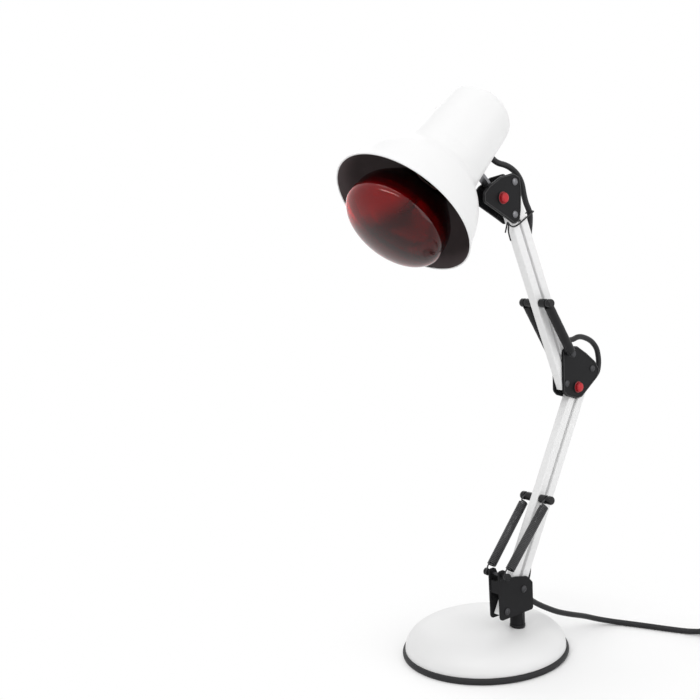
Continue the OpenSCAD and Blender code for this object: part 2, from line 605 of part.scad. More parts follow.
holder_r = 21;
holder_l = 44;
holder_from = shade_l - holder_l - 21;
holder_end = holder_from + holder_l;
socket_l = 32;
cap_r = 13.3;
cap_from = holder_from - 5;
cap_end = cap_from + 31;
module lamp_holder() color([0.9, 0.89, 0.85]) on_axis() difference() {
    union() {
        translate([0, 0, holder_from]) rotate_extrude($fn = 64) polygon([
            [0, 0], [holder_r, 0], [holder_r, 18], [holder_r - 3, 22], [holder_r - 3, holder_l - 3],
            [holder_r - 6, holder_l], [0, holder_l]]);
        translate([0, 0, holder_end - 0.1]) cylinder(r = 6, h = shade_l - shade_wall - holder_end + 0.08, $fn = 40);
    }
    translate([0, 0, holder_from - 1]) cylinder(r = cap_r + 1.9, h = socket_l + 1, $fn = 48);
}
// Threaded sleeve and centre contact
module holder_contacts() color([0.8, 0.65, 0.3]) on_axis() {
    translate([0, 0, holder_from + 2]) difference() {
        cylinder(r = cap_r + 1.8, h = 28, $fn = 48);
        translate([0, 0, -1]) cylinder(r = cap_r + 0.5, h = 30, $fn = 48);
    }
    translate([0, 0, cap_end + 0.05]) cylinder(r = 4, h = holder_from + socket_l - cap_end - 0.1, $fn = 32);
}

// Flexible lead from the gland to the holder's terminals
module holder_lead() color(plastic_black) arm() sweep(spline([for (p = [
    [gland_at, gland_r + 3], [gland_at, gland_r], [gland_at, gland_r - 4.5], [gland_at + 0.5, 29], [gland_at + 3, 24.5],
    [gland_at + 8, 18], [holder_end + 6.5, 12.5], [holder_end + 4.5, 10.4], [holder_end + 0.4, 10]])
    head_at(p.x, p.y)], 3), lead_r, 8);

bulb_r = bulb_d / 2;
bulb_wall = 1.2;
dome_front = -bulb_out - bulb_dome;
neck_from = 42;
// Outer line of the glass from the middle of the dome back to the cap
glass_out = concat(
    [for (i = [0:8]) let (a = 90 * i / 8) [bulb_r * sin(a), -bulb_out - bulb_dome * cos(a)]],
    spline([[bulb_r, -bulb_out], [bulb_r - 3.4, -bulb_out + 17], [bulb_r - 14, 12], [bulb_neck_r + 6, 32],
        [bulb_neck_r, neck_from + 6], [bulb_neck_r - 1, cap_from]], 4));
function shrink(line, w) = [for (i = [0:len(line) - 1])
    let (a = line[max(i - 1, 0)], b = line[min(i + 1, len(line) - 1)], t = unit(b - a))
    i == 0 ? [0, line[0].y + w] : [max(line[i].x - w * t.y, 0), line[i].y + w * t.x]];
glass_in = shrink(glass_out, bulb_wall);
module bulb_glass() color([0.45, 0.02, 0.03]) on_axis() rotate_extrude($fn = 72)
    polygon(concat(glass_out, [for (i = [len(glass_in) - 1:-1:0]) glass_in[i]]));

module bulb_reflector() color([0.75, 0.72, 0.7]) on_axis() {
    back = [for (p = glass_in) if (p.y > -bulb_out + 6 && p.y < neck_from - 2) [p.x - 0.3, p.y]];
    rotate_extrude($fn = 72) polygon(concat(back, [for (i = [len(back) - 1:-1:0]) [back[i].x - 0.4, back[i].y]]));
}

module bulb_cap() color([0.75, 0.7, 0.55]) on_axis() translate([0, 0, cap_from + 0.05]) {
    difference() {
        cylinder(r = cap_r, h = 24, $fn = 48);
        translate([0, 0, -1]) cylinder(r = cap_r - 0.6, h = 23, $fn = 48);
    }
    translate([0, 0, 23.9]) cylinder(r1 = cap_r - 3, r2 = 5, h = cap_end - cap_from - 24, $fn = 48);
    difference() {
        cylinder(r = bulb_neck_r - 1, h = 1, $fn = 48);
        translate([0, 0, -1]) cylinder(r = cap_r - 1, h = 4, $fn = 48);
    }
}

// Glass stem that flares out to the neck, two support wires and the filament between them
module bulb_filament() color([0.6, 0.6, 0.6]) on_axis() {
    stem = 36;
    translate([0, 0, stem]) cylinder(r = 5, h = cap_from + 20 - stem, $fn = 32);
    translate([0, 0, cap_from - 15]) cylinder(r1 = 5, r2 = bulb_neck_r - 1 - bulb_wall - 0.3, h = 14, $fn = 48);
    both_sides() translate([0, 6.5, 4]) rotate([5, 0, 0]) cylinder(d = 1, h = 34, $fn = 16);
    translate([0, 0, 4]) cross_bar(2, 15, 16);
}

/* ---------- mains lead, switch and plug ---------- */

// Route of the lead from the clamp to the switch, from the swivel axis
switch_from = [180, -130, 7];
cord_heading = -69;
cord_way = [cos(cord_heading), sin(cord_heading), 0];
cord_route = [
    as3(exit_p + 0.1 * exit_dir), as3(exit_p + 14 * exit_dir),
    [44, -1, 41.9], [61, -3, 32.9], [79, -5, 25.6], [99, -6, 18.2], [118, -8, 10.9], [134, -14, 5.2],
    [143, -28, 3.1], [149, -45, 3], [155, -62, 3], [161, -79, 3], [167, -95, 3.2],
    switch_from - 24 * cord_way - [0, 0, 2.4], switch_from - 12 * cord_way - [0, 0, 0.4], switch_from];
switch_l = 58;
coil_from = switch_from + switch_l * cord_way;
coil_step = cord_d + 0.6;
coil_turns = 3;
coil_out_r = 43.5;
coil_in_r = coil_out_r - coil_turns * coil_step;
coil_start = [coil_from.x, coil_from.y, lead_r] + 22 * cord_way;
coil_mid = coil_start + coil_out_r * [sin(cord_heading), -cos(cord_heading), 0];
// Clockwise: in on the floor, a half turn that climbs one layer, and out again on top
function coil_point(k) =
    let (n = 24 * coil_turns,
         r = k <= n ? coil_out_r - coil_step * k / 24
            : k <= n + 12 ? coil_in_r - 1.5 * sin(15 * (k - n)) : coil_in_r + coil_step * (k - n - 12) / 24,
         z = k <= n ? 0 : k <= n + 12 ? coil_step * (k - n) / 12 : coil_step,
         a = cord_heading + 90 - 15 * k)
    coil_mid + [r * cos(a), r * sin(a), z];
coil_last = 48 * coil_turns + 12;
coil_line = concat(
    [for (v = [[0, 0], [5, 0.2], [11, 2.8], [16, coil_from.z - lead_r]]) coil_from + v.x * cord_way - [0, 0, v.y]],
    [for (k = [0:coil_last]) coil_point(k)],
    [coil_point(coil_last) - cord_d * cord_way]);
tail_from = coil_line[len(coil_line) - 1];
tail_route = [for (v = [
    -0.2 * cord_way, -3 * cord_way, [-4.4, 9, -0.5], [-12, 16, -1],
    [-22, 18, -1.6], [-32, 13.6, -2.4], [-38, 9.6, -2.6], [-41, 7.6, -2.6]])
    tail_from + v];
plug_from = tail_route[len(tail_route) - 1];
plug_heading = atan2(-2, -3);

module cord_lamp() color(plastic_black) arm() sweep(spline(cord_route, 2), lead_r, 10);
module cord_coil() color(plastic_black) arm() sweep(coil_line, lead_r, 6);
module cord_plug() color(plastic_black) arm() sweep(spline(tail_route, 3), lead_r, 10);

switch_w = 25;
switch_t = 17;
rocker_l = 20;
rocker_w = 12;
rocker_z = switch_t - 4;
rocker_pin_d = 2.4;
module in_switch() arm() translate([switch_from.x, switch_from.y, 0]) rotate([0, 0, cord_heading]) children();
switch_outline = rounded([[0.2, -4.5], [12, -switch_w / 2], [switch_l - 12, -switch_w / 2], [switch_l - 0.2, -4.5],
    [switch_l - 0.2, 4.5], [switch_l - 12, switch_w / 2], [12, switch_w / 2], [0.2, 4.5]], 4);
module switch_body() color(plastic_black) in_switch() difference() {
    linear_extrude(switch_t) polygon(switch_outline);
    translate([(switch_l - rocker_l) / 2 - 0.6, -rocker_w / 2 - 0.5, 5]) cube([rocker_l + 1.2, rocker_w + 1, switch_t]);
    translate([switch_l / 2, 0, rocker_z]) cross_bar(rocker_pin_d + 2 * run, rocker_w + 5);
}
// The rocker rests tipped to its off side
rocker_tip = 7;
module switch_rocker() color(cap_red) in_switch() translate([switch_l / 2, 0, rocker_z]) lean(rocker_tip) {
    flat([[-9.6, -1], [-4, -4.2], [4, -4.2], [9.6, -1], [9.6, 4.8], [0, 3.6], [-9.6, 4.8]], -rocker_w / 2, rocker_w);
    cross_bar(rocker_pin_d, rocker_w + 4.6);
}

// Two-pin plug with a tapered strain relief
plug_l = 36;
plug_t = 13.6;
plug_w = 26;
relief_l = 22;
module plug() arm() translate(plug_from) rotate([0, 0, plug_heading]) translate([0.05, 0, 0]) {
    color(plastic_black) rotate([0, 90, 0]) cylinder(r1 = lead_r + 1, r2 = lead_r + 2.6, h = relief_l, $fn = 40);
    color(plastic_black) translate([relief_l - 1, 0, -plug_t / 2]) linear_extrude(plug_t) polygon(rounded([
        [0, -6], [8, -plug_w / 2], [plug_l - 3, -plug_w / 2], [plug_l, -plug_w / 2 + 4],
        [plug_l, plug_w / 2 - 4], [plug_l - 3, plug_w / 2], [8, plug_w / 2], [0, 6]], 3));
    color(steel_grey) for (y = [-9.3, 9.3]) translate([relief_l + plug_l - 2, y, 0]) rotate([0, 90, 0])
        cylinder(d = 4, h = 20, $fn = 32);
}

/* ---------- sleeves and inner springs of the upper arm ---------- */

up_a = as3(P4, spring_y);
up_b = as3(upper_pin, spring_y);
up_l = norm(up_b - up_a);
sleeve_wall = 0.8;
hidden_d = sleeve_d - 2 * sleeve_wall - 0.4;  // the springs inside the sleeves
hidden_r = (hidden_d - wire_d) / 2;
module on_upper_springs() arm() both_sides() between(up_a, up_b) children();
module hollow(d, wall, from, upto) translate([from, 0, 0]) rotate([0, 90, 0]) difference() {
    cylinder(d = d, h = upto - from, $fn = 40);
    translate([0, 0, -1]) cylinder(d = d - 2 * wall, h = upto, $fn = 40);
}
module spring_sleeves() color(plastic_black) on_upper_springs() hollow(sleeve_d, sleeve_wall, 5.5, up_l - 6);
// Close-wound springs, plain where the sleeves hide them, with a hook round each pin
module upper_springs() color(spring_grey) on_upper_springs() {
    hollow(hidden_d, wire_d, 9, up_l - 9);
    sweep(concat(hook(0, -60, -210), [[1, 0, hook_r], [6, 0, hidden_r], [9.5, 0, hidden_r]]), wire_d / 2, 6);
    sweep(concat([[up_l - 9.5, 0, hidden_r], [up_l - 6, 0, hidden_r], [up_l - 1, 0, hook_r]],
        backwards(hook(up_l, 240, 210))), wire_d / 2, 6);
}

union() {
    echo(spring_least_gap = least_gap([for (i = [8:8 * 6 + 8]) spring_line(low_l)[i]], 6, wire_d));
    echo(coil_least_gap = least_gap(coil_line, 12, cord_d));
}

base_cover();
base_weight();
base_pad();
trim_ring();
socket_bush();
bush_nut();
swivel_bracket();
swivel_spigot();
bracket_pins();
spring_anchor_pin();
anchor_caps();
cord_clamp();
bracket_lead();
lower_rear_tube();
lower_rear_lead();
lower_front_tube();
lower_spring_pin();
lower_pin_caps();
lower_spring_near();
lower_spring_far();
elbow_plate_near();
elbow_plate_far();
elbow_pins();
elbow_anchor_pin();
elbow_bolt();
elbow_bolt_cap();
elbow_lead_lower();
elbow_lead_upper();
upper_rear_tube();
upper_rear_lead();
upper_front_tube();
upper_spring_pin();
upper_pin_caps();
spring_sleeves();
upper_springs();
head_plate_near();
head_plate_far();
head_pins();
tilt_bolt();
tilt_bolt_cap();
lead_tie();
head_lead_lower();
head_lead_upper();
shade();
shade_strap();
strap_screws();
lead_gland();
holder_lead();
lamp_holder();
holder_contacts();
bulb_glass();
bulb_reflector();
bulb_cap();
bulb_filament();
cord_lamp();
switch_body();
switch_rocker();
cord_coil();
cord_plug();
plug();
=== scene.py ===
"""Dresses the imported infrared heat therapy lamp: finishes, shells, springs, leads, floor and light.

Points and sizes of the lamp are in millimetres, in the arm's frame, as they are in the source.
placed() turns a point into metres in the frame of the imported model, where the meshes are made.
"""

import logging
from dataclasses import dataclass
from enum import Enum
from math import atan2, cos, hypot, pi, radians, sin
from typing import Callable, Iterable, Sequence

import bmesh
import bpy
import numpy as np
from mathutils import Matrix, Vector


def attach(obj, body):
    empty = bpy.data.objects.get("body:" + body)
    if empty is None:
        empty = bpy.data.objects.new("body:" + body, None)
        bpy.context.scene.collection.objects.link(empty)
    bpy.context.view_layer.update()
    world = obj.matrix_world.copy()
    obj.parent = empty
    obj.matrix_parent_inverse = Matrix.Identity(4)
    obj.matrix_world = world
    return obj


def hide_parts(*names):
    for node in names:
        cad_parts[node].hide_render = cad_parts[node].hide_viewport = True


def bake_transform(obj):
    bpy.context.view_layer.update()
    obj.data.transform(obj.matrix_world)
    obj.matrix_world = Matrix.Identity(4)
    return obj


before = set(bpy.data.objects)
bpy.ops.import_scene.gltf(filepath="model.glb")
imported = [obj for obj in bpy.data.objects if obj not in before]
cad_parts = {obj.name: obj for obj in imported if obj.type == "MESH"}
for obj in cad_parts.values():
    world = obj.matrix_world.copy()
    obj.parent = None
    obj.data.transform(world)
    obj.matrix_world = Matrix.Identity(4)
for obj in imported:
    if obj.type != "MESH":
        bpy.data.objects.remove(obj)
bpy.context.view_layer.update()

LOG = logging.getLogger("lamp")
MM = 0.001
WHITE = (1.0, 1.0, 1.0, 1.0)
Obj = bpy.types.Object
BMesh = bmesh.types.BMesh
Mesh = bpy.types.Mesh
Node = bpy.types.Node
Tree = bpy.types.NodeTree
Socket = bpy.types.NodeSocket
Point2 = tuple[float, float]
Triple = tuple[float, float, float]

# ---- layout


class Side(Enum):
    """The two faces of the arm."""

    NEAR = -1
    FAR = 1


def polar(r: float, degrees: float) -> Point2:
    """Point at a radius and an angle."""
    a = radians(degrees)
    return r * cos(a), r * sin(a)


def plane(p: Point2) -> Vector:
    """Point of the arm's plane as a vector."""
    return Vector((p[0], 0.0, p[1]))


def leaning(angle: float, p: Point2) -> Vector:
    """Point of a tube's own frame, across and along, turned by the tube's lean in degrees."""
    c, s = polar(1, angle)
    return Vector((p[0] * c + p[1] * s, 0, -p[0] * s + p[1] * c))


@dataclass(frozen=True)
class Layout:
    """Lengths, leans in degrees and offsets that the lamp's points come from."""

    socket_off: float = 40.0
    socket_turn: float = -78.0
    lower_len: float = 246.0
    lower_lean: float = 29.0
    upper_len: float = 193.0
    upper_lean: float = 22.6
    shade_tilt: float = 42.5
    lower_front_foot: Point2 = (-23.0, 58.0)
    pair_low: Point2 = (25.5, 17.0)
    pair_up: Point2 = (0.8, 32.0)
    elbow_step: Point2 = (-17.8, 5.8)
    tilt_step: Point2 = (-17.3, 16.2)
    anchor_step: Point2 = (-5.5, 39.0)
    rim_back: float = 100.8
    rim_down: float = 73.2
    lower_pin_at: float = 120.0
    upper_pin_at: float = 95.0
    anchor_y: float = 12.6
    spring_y: float = 14.5


class Pivots:
    """Points and directions that the pieces share, worked out from the layout."""

    def __init__(self, size: Layout) -> None:
        """Works them out, from the foot of the arm to the shade."""
        pair_low, pair_up = plane(size.pair_low), plane(size.pair_up)
        c, s = polar(1, size.shade_tilt)
        self.socket = Vector((*polar(size.socket_off, size.socket_turn), 0))
        self.foot_front = plane(size.lower_front_foot)
        self.foot_rear = self.foot_front + pair_low
        self.anchor = self.foot_front + plane(size.anchor_step)
        self.lower_pin = self.foot_front + leaning(size.lower_lean, (0, size.lower_pin_at))
        self.elbow_bolt = self.foot_front + leaning(size.lower_lean, (0, size.lower_len))
        self.elbow_rear = self.elbow_bolt + pair_low
        self.upper_front = self.elbow_bolt + plane(size.elbow_step)
        self.upper_rear = self.upper_front + pair_up
        self.upper_pin = self.upper_front + leaning(-size.upper_lean, (0, size.upper_pin_at))
        self.head_front = self.upper_front + leaning(-size.upper_lean, (0, size.upper_len))
        self.head_rear = self.head_front + pair_up
        self.tilt_bolt = self.head_front + plane(size.tilt_step)
        self.shade_dir = Vector((c, 0, s))
        self.shade_side = Vector((s, 0, -c))
        self.rim = self.tilt_bolt - size.rim_back * self.shade_dir - size.rim_down * self.shade_side


LAMP = Layout()
AT = Pivots(LAMP)


def placed(p: Vector) -> Vector:
    """Point of the arm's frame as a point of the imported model, in metres."""
    return (p + AT.socket) * MM


def placed_all(points: Iterable[Vector]) -> list[Vector]:
    """Points of the arm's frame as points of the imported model, in metres."""
    return [placed(p) for p in points]


def lower_at(across: float, along: float) -> Vector:
    """Point of the lower rear tube's frame, in the arm's frame."""
    return AT.foot_rear + leaning(LAMP.lower_lean, (across, along))


def upper_at(across: float, along: float, y: float = 0.0) -> Vector:
    """Point of the upper rear tube's frame, in the arm's frame."""
    return AT.upper_rear + leaning(-LAMP.upper_lean, (across, along)) + Vector((0, y, 0))


def head_at(along: float, out: float) -> Vector:
    """Point of the shade's frame, from its rim and from its axis, in the arm's frame."""
    return AT.rim + along * AT.shade_dir + out * AT.shade_side


def spline(points: Sequence[Sequence[float]], steps: int) -> list[Vector]:
    """Smooth curve through points in two or three dimensions, with steps for each stretch."""
    p = [np.array(q, float) for q in points]
    out = []
    for i in range(len(p) - 1):
        a, b, c, d = p[max(i - 1, 0)], p[i], p[i + 1], p[min(i + 2, len(p) - 1)]
        for s in range(steps):
            u = s / steps
            out.append(0.5 * (2 * b + (c - a) * u + (2 * a - 5 * b + 4 * c - d) * u**2
                              + (3 * b - a - 3 * c + d) * u**3))
    return [Vector(q) for q in (*out, p[-1])]


# ---- finishes


class Graph:
    """Short way to build a node tree."""

    def __init__(self, tree: Tree) -> None:
        """Keeps the tree that the nodes go into."""
        self.tree = tree

    def feed(self, node: Node, inputs: dict) -> None:
        """Links sockets to a node's inputs, or sets the inputs' own values."""
        for key, value in inputs.items():
            if isinstance(value, Socket):
                self.tree.links.new(value, node.inputs[key])
            else:
                node.inputs[key].default_value = value

    def add(self, kind: str, inputs: dict | None = None, **settings: object) -> Node:
        """Adds a node.

        Args:
            kind: the node's type name.
            inputs: values or sockets for its inputs, by name or by number.
            **settings: properties of the node itself.

        Returns:
            The new node.
        """
        node = self.tree.nodes.new(kind)
        for name, value in settings.items():
            setattr(node, name, value)
        self.feed(node, inputs or {})
        return node

    def out(self, kind: str, inputs: dict | None = None, pick: int | str = 0,
            **settings: object) -> Socket:
        """Adds a node and returns one of its outputs."""
        return self.add(kind, inputs, **settings).outputs[pick]

    def maths(self, operation: str, *values: object, **settings: object) -> Socket:
        """Result of a sum on numbers."""
        return self.out("ShaderNodeMath", dict(enumerate(values)), operation=operation, **settings)

    def measured(self, operation: str, a: object, b: object) -> Socket:
        """Number that two vectors give, such as their distance."""
        return self.out("ShaderNodeVectorMath", {0: a, 1: b}, "Value", operation=operation)

    def noise(self, place: Socket, scale: float, detail: float) -> Socket:
        """Strength of a soft noise."""
        return self.out("ShaderNodeTexNoise", {"Vector": place, "Scale": scale, "Detail": detail})

    def between(self, share: Socket, first: Triple, second: Triple) -> Socket:
        """Colour between two, by a share."""
        return self.out("ShaderNodeMix", {0: share, 6: rgba(first), 7: rgba(second)}, 2,
                        data_type="RGBA")

    def ranged(self, value: Socket, smooth: bool = False, **ends: float) -> Socket:
        """Value carried from one range to another, whose ends are named From_Min and so on."""
        inputs = {"Value": value, **{key.replace("_", " "): end for key, end in ends.items()}}
        kind = "SMOOTHSTEP" if smooth else "LINEAR"
        return self.out("ShaderNodeMapRange", inputs, interpolation_type=kind)

    def raised(self, height: Socket, strength: float, distance: float) -> Socket:
        """Normal of a surface that a height raises."""
        return self.out("ShaderNodeBump",
                        {"Strength": strength, "Distance": distance, "Height": height})

    def seen(self) -> Socket:
        """One for the rays that a viewer sees, straight, mirrored or through glass."""
        path = self.add("ShaderNodeLightPath").outputs
        first = self.maths("MAXIMUM", path["Is Camera Ray"], path["Is Glossy Ray"])
        return self.maths("MAXIMUM", first, path["Is Transmission Ray"])


def rgba(c: Triple) -> tuple[float, float, float, float]:
    """Colour with full alpha."""
    return (*c, 1.0)


MADE: dict[str, bpy.types.Material] = {}


@dataclass(frozen=True)
class Look:
    """A named material. Each kind of look paints its own nodes."""

    name: str

    def material(self) -> bpy.types.Material:
        """The material, made the first time that it is asked for."""
        if self.name not in MADE:
            material = bpy.data.materials.new(self.name)
            material.use_nodes = True
            g = Graph(material.node_tree)
            place = g.out("ShaderNodeTexCoord", pick="Object")
            self.paint(g, material.node_tree.nodes["Principled BSDF"], place)
            MADE[self.name] = material
        return MADE[self.name]

    def paint(self, g: Graph, shader: Node, place: Socket) -> None:
        """Lays the nodes out, from the object's own coordinates to the shader."""
        raise NotImplementedError


@dataclass(frozen=True)
class Finish(Look):
    """A painted, moulded, cast or metal surface.

    The second colour clouds the first in soft patches, the roughness drifts by spread, and a fine
    grain raises the surface.
    """

    colour: Triple
    second: Triple
    roughness: float
    spread: float = 0.06
    metallic: float = 0.0
    patch: float = 25.0
    grain: float = 1500.0
    depth: float = 0.05
    stretch: Triple = (1.0, 1.0, 1.0)
    coat: float = 0.0
    coat_roughness: float = 0.1
    specular: float = 0.5

    def paint(self, g: Graph, shader: Node, place: Socket) -> None:
        """Lays out the clouds, the drift and the grain."""
        along = g.out("ShaderNodeMapping", {"Vector": place, "Scale": self.stretch})
        fine = g.noise(along, self.grain, 2.0)
        low, high = self.roughness - self.spread, self.roughness + self.spread
        g.feed(shader, {
            "Base Color": g.between(g.noise(place, self.patch, 3.0), self.colour, self.second),
            "Roughness": g.ranged(fine, To_Min=low, To_Max=high),
            "Normal": g.raised(fine, self.depth, 0.0003),
            "Metallic": self.metallic,
            "Specular IOR Level": self.specular,
            "Coat Weight": self.coat,
            "Coat Roughness": self.coat_roughness,
        })


@dataclass(frozen=True)
class RedCap(Look):
    """Glossy red plastic that darkens to a black collar, measured from the cap's own axis."""

    centre: Vector
    edge: float = 6.2
    reach: float = 7.0

    def paint(self, g: Graph, shader: Node, place: Socket) -> None:
        """Lays out the rings of colour."""
        flat = g.out("ShaderNodeVectorMath", {0: place, 1: (1.0, 0.0, 1.0)}, operation="MULTIPLY")
        away = g.measured("DISTANCE", flat, (self.centre.x, 0.0, self.centre.z))
        band = g.add("ShaderNodeValToRGB", {"Fac": g.ranged(away, From_Max=self.reach * MM)})
        stops = band.color_ramp.elements
        stops[0].color = rgba((0.50, 0.014, 0.022))
        stops[1].color = rgba((0.010, 0.010, 0.011))
        collar = self.edge / self.reach
        for at, colour in ((0.5, (0.44, 0.011, 0.018)), (collar - 0.05, (0.24, 0.006, 0.010)),
                           (collar, (0.011, 0.010, 0.011))):
            stops.new(at).color = rgba(colour)
        g.feed(shader, {
            "Base Color": band.outputs["Color"],
            "Normal": g.raised(g.noise(place, 900.0, 2.0), 0.04, 0.0002),
            "Roughness": 0.36,
            "Specular IOR Level": 0.3,
        })


@dataclass(frozen=True)
class RubyGlass(Look):
    """Deep red lamp glass with painted shade: nearly black round the sides and away from the lit half
    of the dome, clearer on the lit half.
    """

    centre: Vector
    along: Vector
    lit_half: Vector
    # The dark red is painted shade, laid down the sides and on the half away from the light.
    dark: Triple = (0.16, 0.001, 0.0025)
    clear: Triple = (0.70, 0.0006, 0.003)

    def paint(self, g: Graph, shader: Node, place: Socket) -> None:
        """Lays out the painted shade, which grows down the sides and away from the lit half."""
        off = g.out("ShaderNodeVectorMath", {0: place, 1: tuple(self.centre)}, operation="SUBTRACT")
        shares = [g.ranged(g.measured("DOT_PRODUCT", off, tuple(way)), True, From_Min=start * MM,
                           From_Max=end * MM)
                  for way, start, end in ((self.along, -17.0, -7.0), (self.lit_half, 32.0, 8.0))]
        share = g.maths("MAXIMUM", *shares)
        shade_clouded = g.maths("MULTIPLY_ADD", g.noise(place, 30.0, 1.0), 0.25, share, use_clamp=True)
        g.feed(shader, {
            "Base Color": g.between(shade_clouded, self.clear, self.dark),
            "Transmission Weight": g.ranged(share, To_Min=0.88, To_Max=0.97),
            "Roughness": 0.0,
            "IOR": 1.38,
        })


@dataclass(frozen=True)
class SpringSteel(Look):
    """Oil-blackened wire with a painted highlight: lighter around the middle of a spring."""

    middle: Vector
    reach: float
    # The lighter colour at the middle is a painted highlight.
    rubbed: Triple = (0.085, 0.085, 0.088)
    oiled: Triple = (0.014, 0.014, 0.015)

    def paint(self, g: Graph, shader: Node, place: Socket) -> None:
        """Lays out the share of the oiled colour, which grows away from the painted highlight at the
        middle.
        """
        away = g.measured("DISTANCE", place, tuple(self.middle))
        spots = g.noise(place, 220.0, 3.0)
        share = g.maths("MULTIPLY_ADD", g.ranged(away, From_Max=self.reach), spots, 0.1)
        g.feed(shader, {
            "Base Color": g.between(share, self.rubbed, self.oiled),
            "Normal": g.raised(spots, 0.1, 0.0002),
            "Metallic": 0.35,
            "Specular IOR Level": 0.3,
            "Roughness": 0.42,
        })


@dataclass(frozen=True)
class PaleFloor(Look):
    """Pale floor that fades into the white background away from the lamp."""

    middle: Triple = (0.05, -0.08, 0.0)
    solid: float = 0.09
    gone: float = 0.30

    def paint(self, g: Graph, shader: Node, place: Socket) -> None:
        """Lays out the fade."""
        g.feed(shader, {"Base Color": rgba((0.96, 0.96, 0.96)), "Roughness": 0.9,
                        "Specular IOR Level": 0.1})
        fade = g.ranged(g.measured("DISTANCE", place, self.middle), True, From_Min=self.solid,
                        From_Max=self.gone)
        glow = g.out("ShaderNodeEmission", {"Color": WHITE, "Strength": 1.0})
        both = g.out("ShaderNodeMixShader", {0: g.maths("MULTIPLY", fade, g.seen()),
                                             1: shader.outputs[0], 2: glow})
        g.feed(g.tree.nodes["Material Output"], {"Surface": both})


ENAMEL = Finish("white_enamel", (0.80, 0.80, 0.80), (0.78, 0.78, 0.78), 0.42, 0.04, grain=700,
                depth=0.04, coat=0.12, coat_roughness=0.28, specular=0.35)
SHADE_DARK = Finish("shade_inside", (0.15, 0.12, 0.122), (0.12, 0.097, 0.099), 0.48, grain=900,
                    specular=0.3)
MOULDED = Finish("black_moulding", (0.008, 0.008, 0.009), (0.012, 0.012, 0.013), 0.42, 0.07,
                 grain=2600, depth=0.10, specular=0.12)
# The rims' black is a lighter copy of the moulding's, a painted highlight along the plates' edges.
RIM_HIGHLIGHT = Finish("raised_rim_highlight", (0.016, 0.016, 0.017), (0.022, 0.022, 0.024), 0.36, grain=2600,
                depth=0.08, specular=0.4)
SPOOL = Finish("spool_plastic", (0.009, 0.009, 0.010), (0.013, 0.013, 0.014), 0.3, 0.05,
               grain=1800, specular=0.25)
ZINC = Finish("zinc_steel", (0.36, 0.37, 0.38), (0.28, 0.29, 0.30), 0.34, 0.10, 1.0, 90, 1400,
              0.08, (1, 6, 1))
DARK_ZINC = Finish("dark_zinc", (0.20, 0.20, 0.21), (0.15, 0.15, 0.16), 0.38, 0.10, 1.0, 90, 1400,
                   0.10, (1, 5, 1))
RIVET = Finish("blackened_rivet", (0.075, 0.075, 0.080), (0.045, 0.045, 0.048), 0.42, 0.10, 0.9,
               200, 1800, 0.10)
IRON = Finish("cast_iron", (0.05, 0.05, 0.052), (0.07, 0.068, 0.065), 0.75, 0.10, 0.3, 40, 500, 0.5)
FOAM = Finish("foam", (0.014, 0.014, 0.015), (0.02, 0.02, 0.021), 0.9, 0.05, grain=2200, depth=0.6,
              specular=0.1)
RUBBER = Finish("trim_rubber", (0.016, 0.016, 0.017), (0.022, 0.022, 0.024), 0.52, 0.07,
                grain=1300, depth=0.1, specular=0.25)
PVC = Finish("flex_pvc", (0.012, 0.012, 0.013), (0.018, 0.018, 0.020), 0.4, grain=1800,
             depth=0.07, specular=0.25)
SLEEVE = Finish("sleeve_pvc", (0.009, 0.009, 0.010), (0.014, 0.014, 0.015), 0.44, 0.07,
                grain=1200, depth=0.08, specular=0.22)
GLAZE = Finish("glazed_ceramic", (0.75, 0.72, 0.64), (0.70, 0.67, 0.60), 0.22, 0.04, grain=300,
               coat=0.4)
BRASS = Finish("brass", (0.62, 0.44, 0.17), (0.52, 0.36, 0.14), 0.3, 0.08, 1.0, 60, 1200, 0.06)
SILVERING = Finish("silvering", (0.80, 0.78, 0.77), (0.70, 0.68, 0.67), 0.10, 0.02, 1.0, 30, 60, 0)
CAP_METAL = Finish("cap_metal", (0.62, 0.58, 0.48), (0.54, 0.50, 0.42), 0.3, 0.06, 1.0, 60, 900,
                   0.06)
STEM = Finish("stem_glass", (0.55, 0.55, 0.56), (0.45, 0.45, 0.46), 0.18, 0.04, grain=200,
              depth=0.03)
ROCKER = Finish("rocker_red", (0.5, 0.02, 0.03), (0.44, 0.018, 0.026), 0.3)


# ---- meshes


def linked(name: str, data: bpy.types.ID) -> Obj:
    """New object in the scene, at the origin."""
    obj = bpy.data.objects.new(name, data)
    bpy.context.scene.collection.objects.link(obj)
    return obj


def smoothed(mesh: Mesh) -> None:
    """Lets every face of a mesh shade smooth."""
    mesh.polygons.foreach_set("use_smooth", [True] * len(mesh.polygons))


def edited(obj: Obj, change: Callable[[BMesh], None]) -> Obj:
    """Runs a change on an object's mesh."""
    bm = bmesh.new()
    bm.from_mesh(obj.data)
    change(bm)
    bm.to_mesh(obj.data)
    bm.free()
    return obj


def merged(bm: BMesh) -> None:
    """Merges the vertices that lie on one another."""
    bmesh.ops.remove_doubles(bm, verts=bm.verts, dist=1e-6)


def outward(bm: BMesh) -> None:
    """Merges doubles and turns the faces of a closed shell outwards."""
    merged(bm)
    bmesh.ops.recalc_face_normals(bm, faces=bm.faces)


def sharpened(obj: Obj, degrees: float = 32.0) -> Obj:
    """Marks the edges past an angle sharp, so that only gentle ones shade smooth."""

    def mark(bm: BMesh) -> None:
        for e in bm.edges:
            e.smooth = len(e.link_faces) == 2 and e.calc_face_angle(0.0) < radians(degrees)

    return edited(obj, mark)


@dataclass(frozen=True)
class Axis:
    """Line that a turned piece goes round, in metres."""

    start: Vector
    along: Vector

    def matrix(self) -> Matrix:
        """Frame whose Z runs along the axis."""
        turn = self.along.to_track_quat("Z", "Y").to_matrix().to_4x4()
        return Matrix.Translation(self.start) @ turn


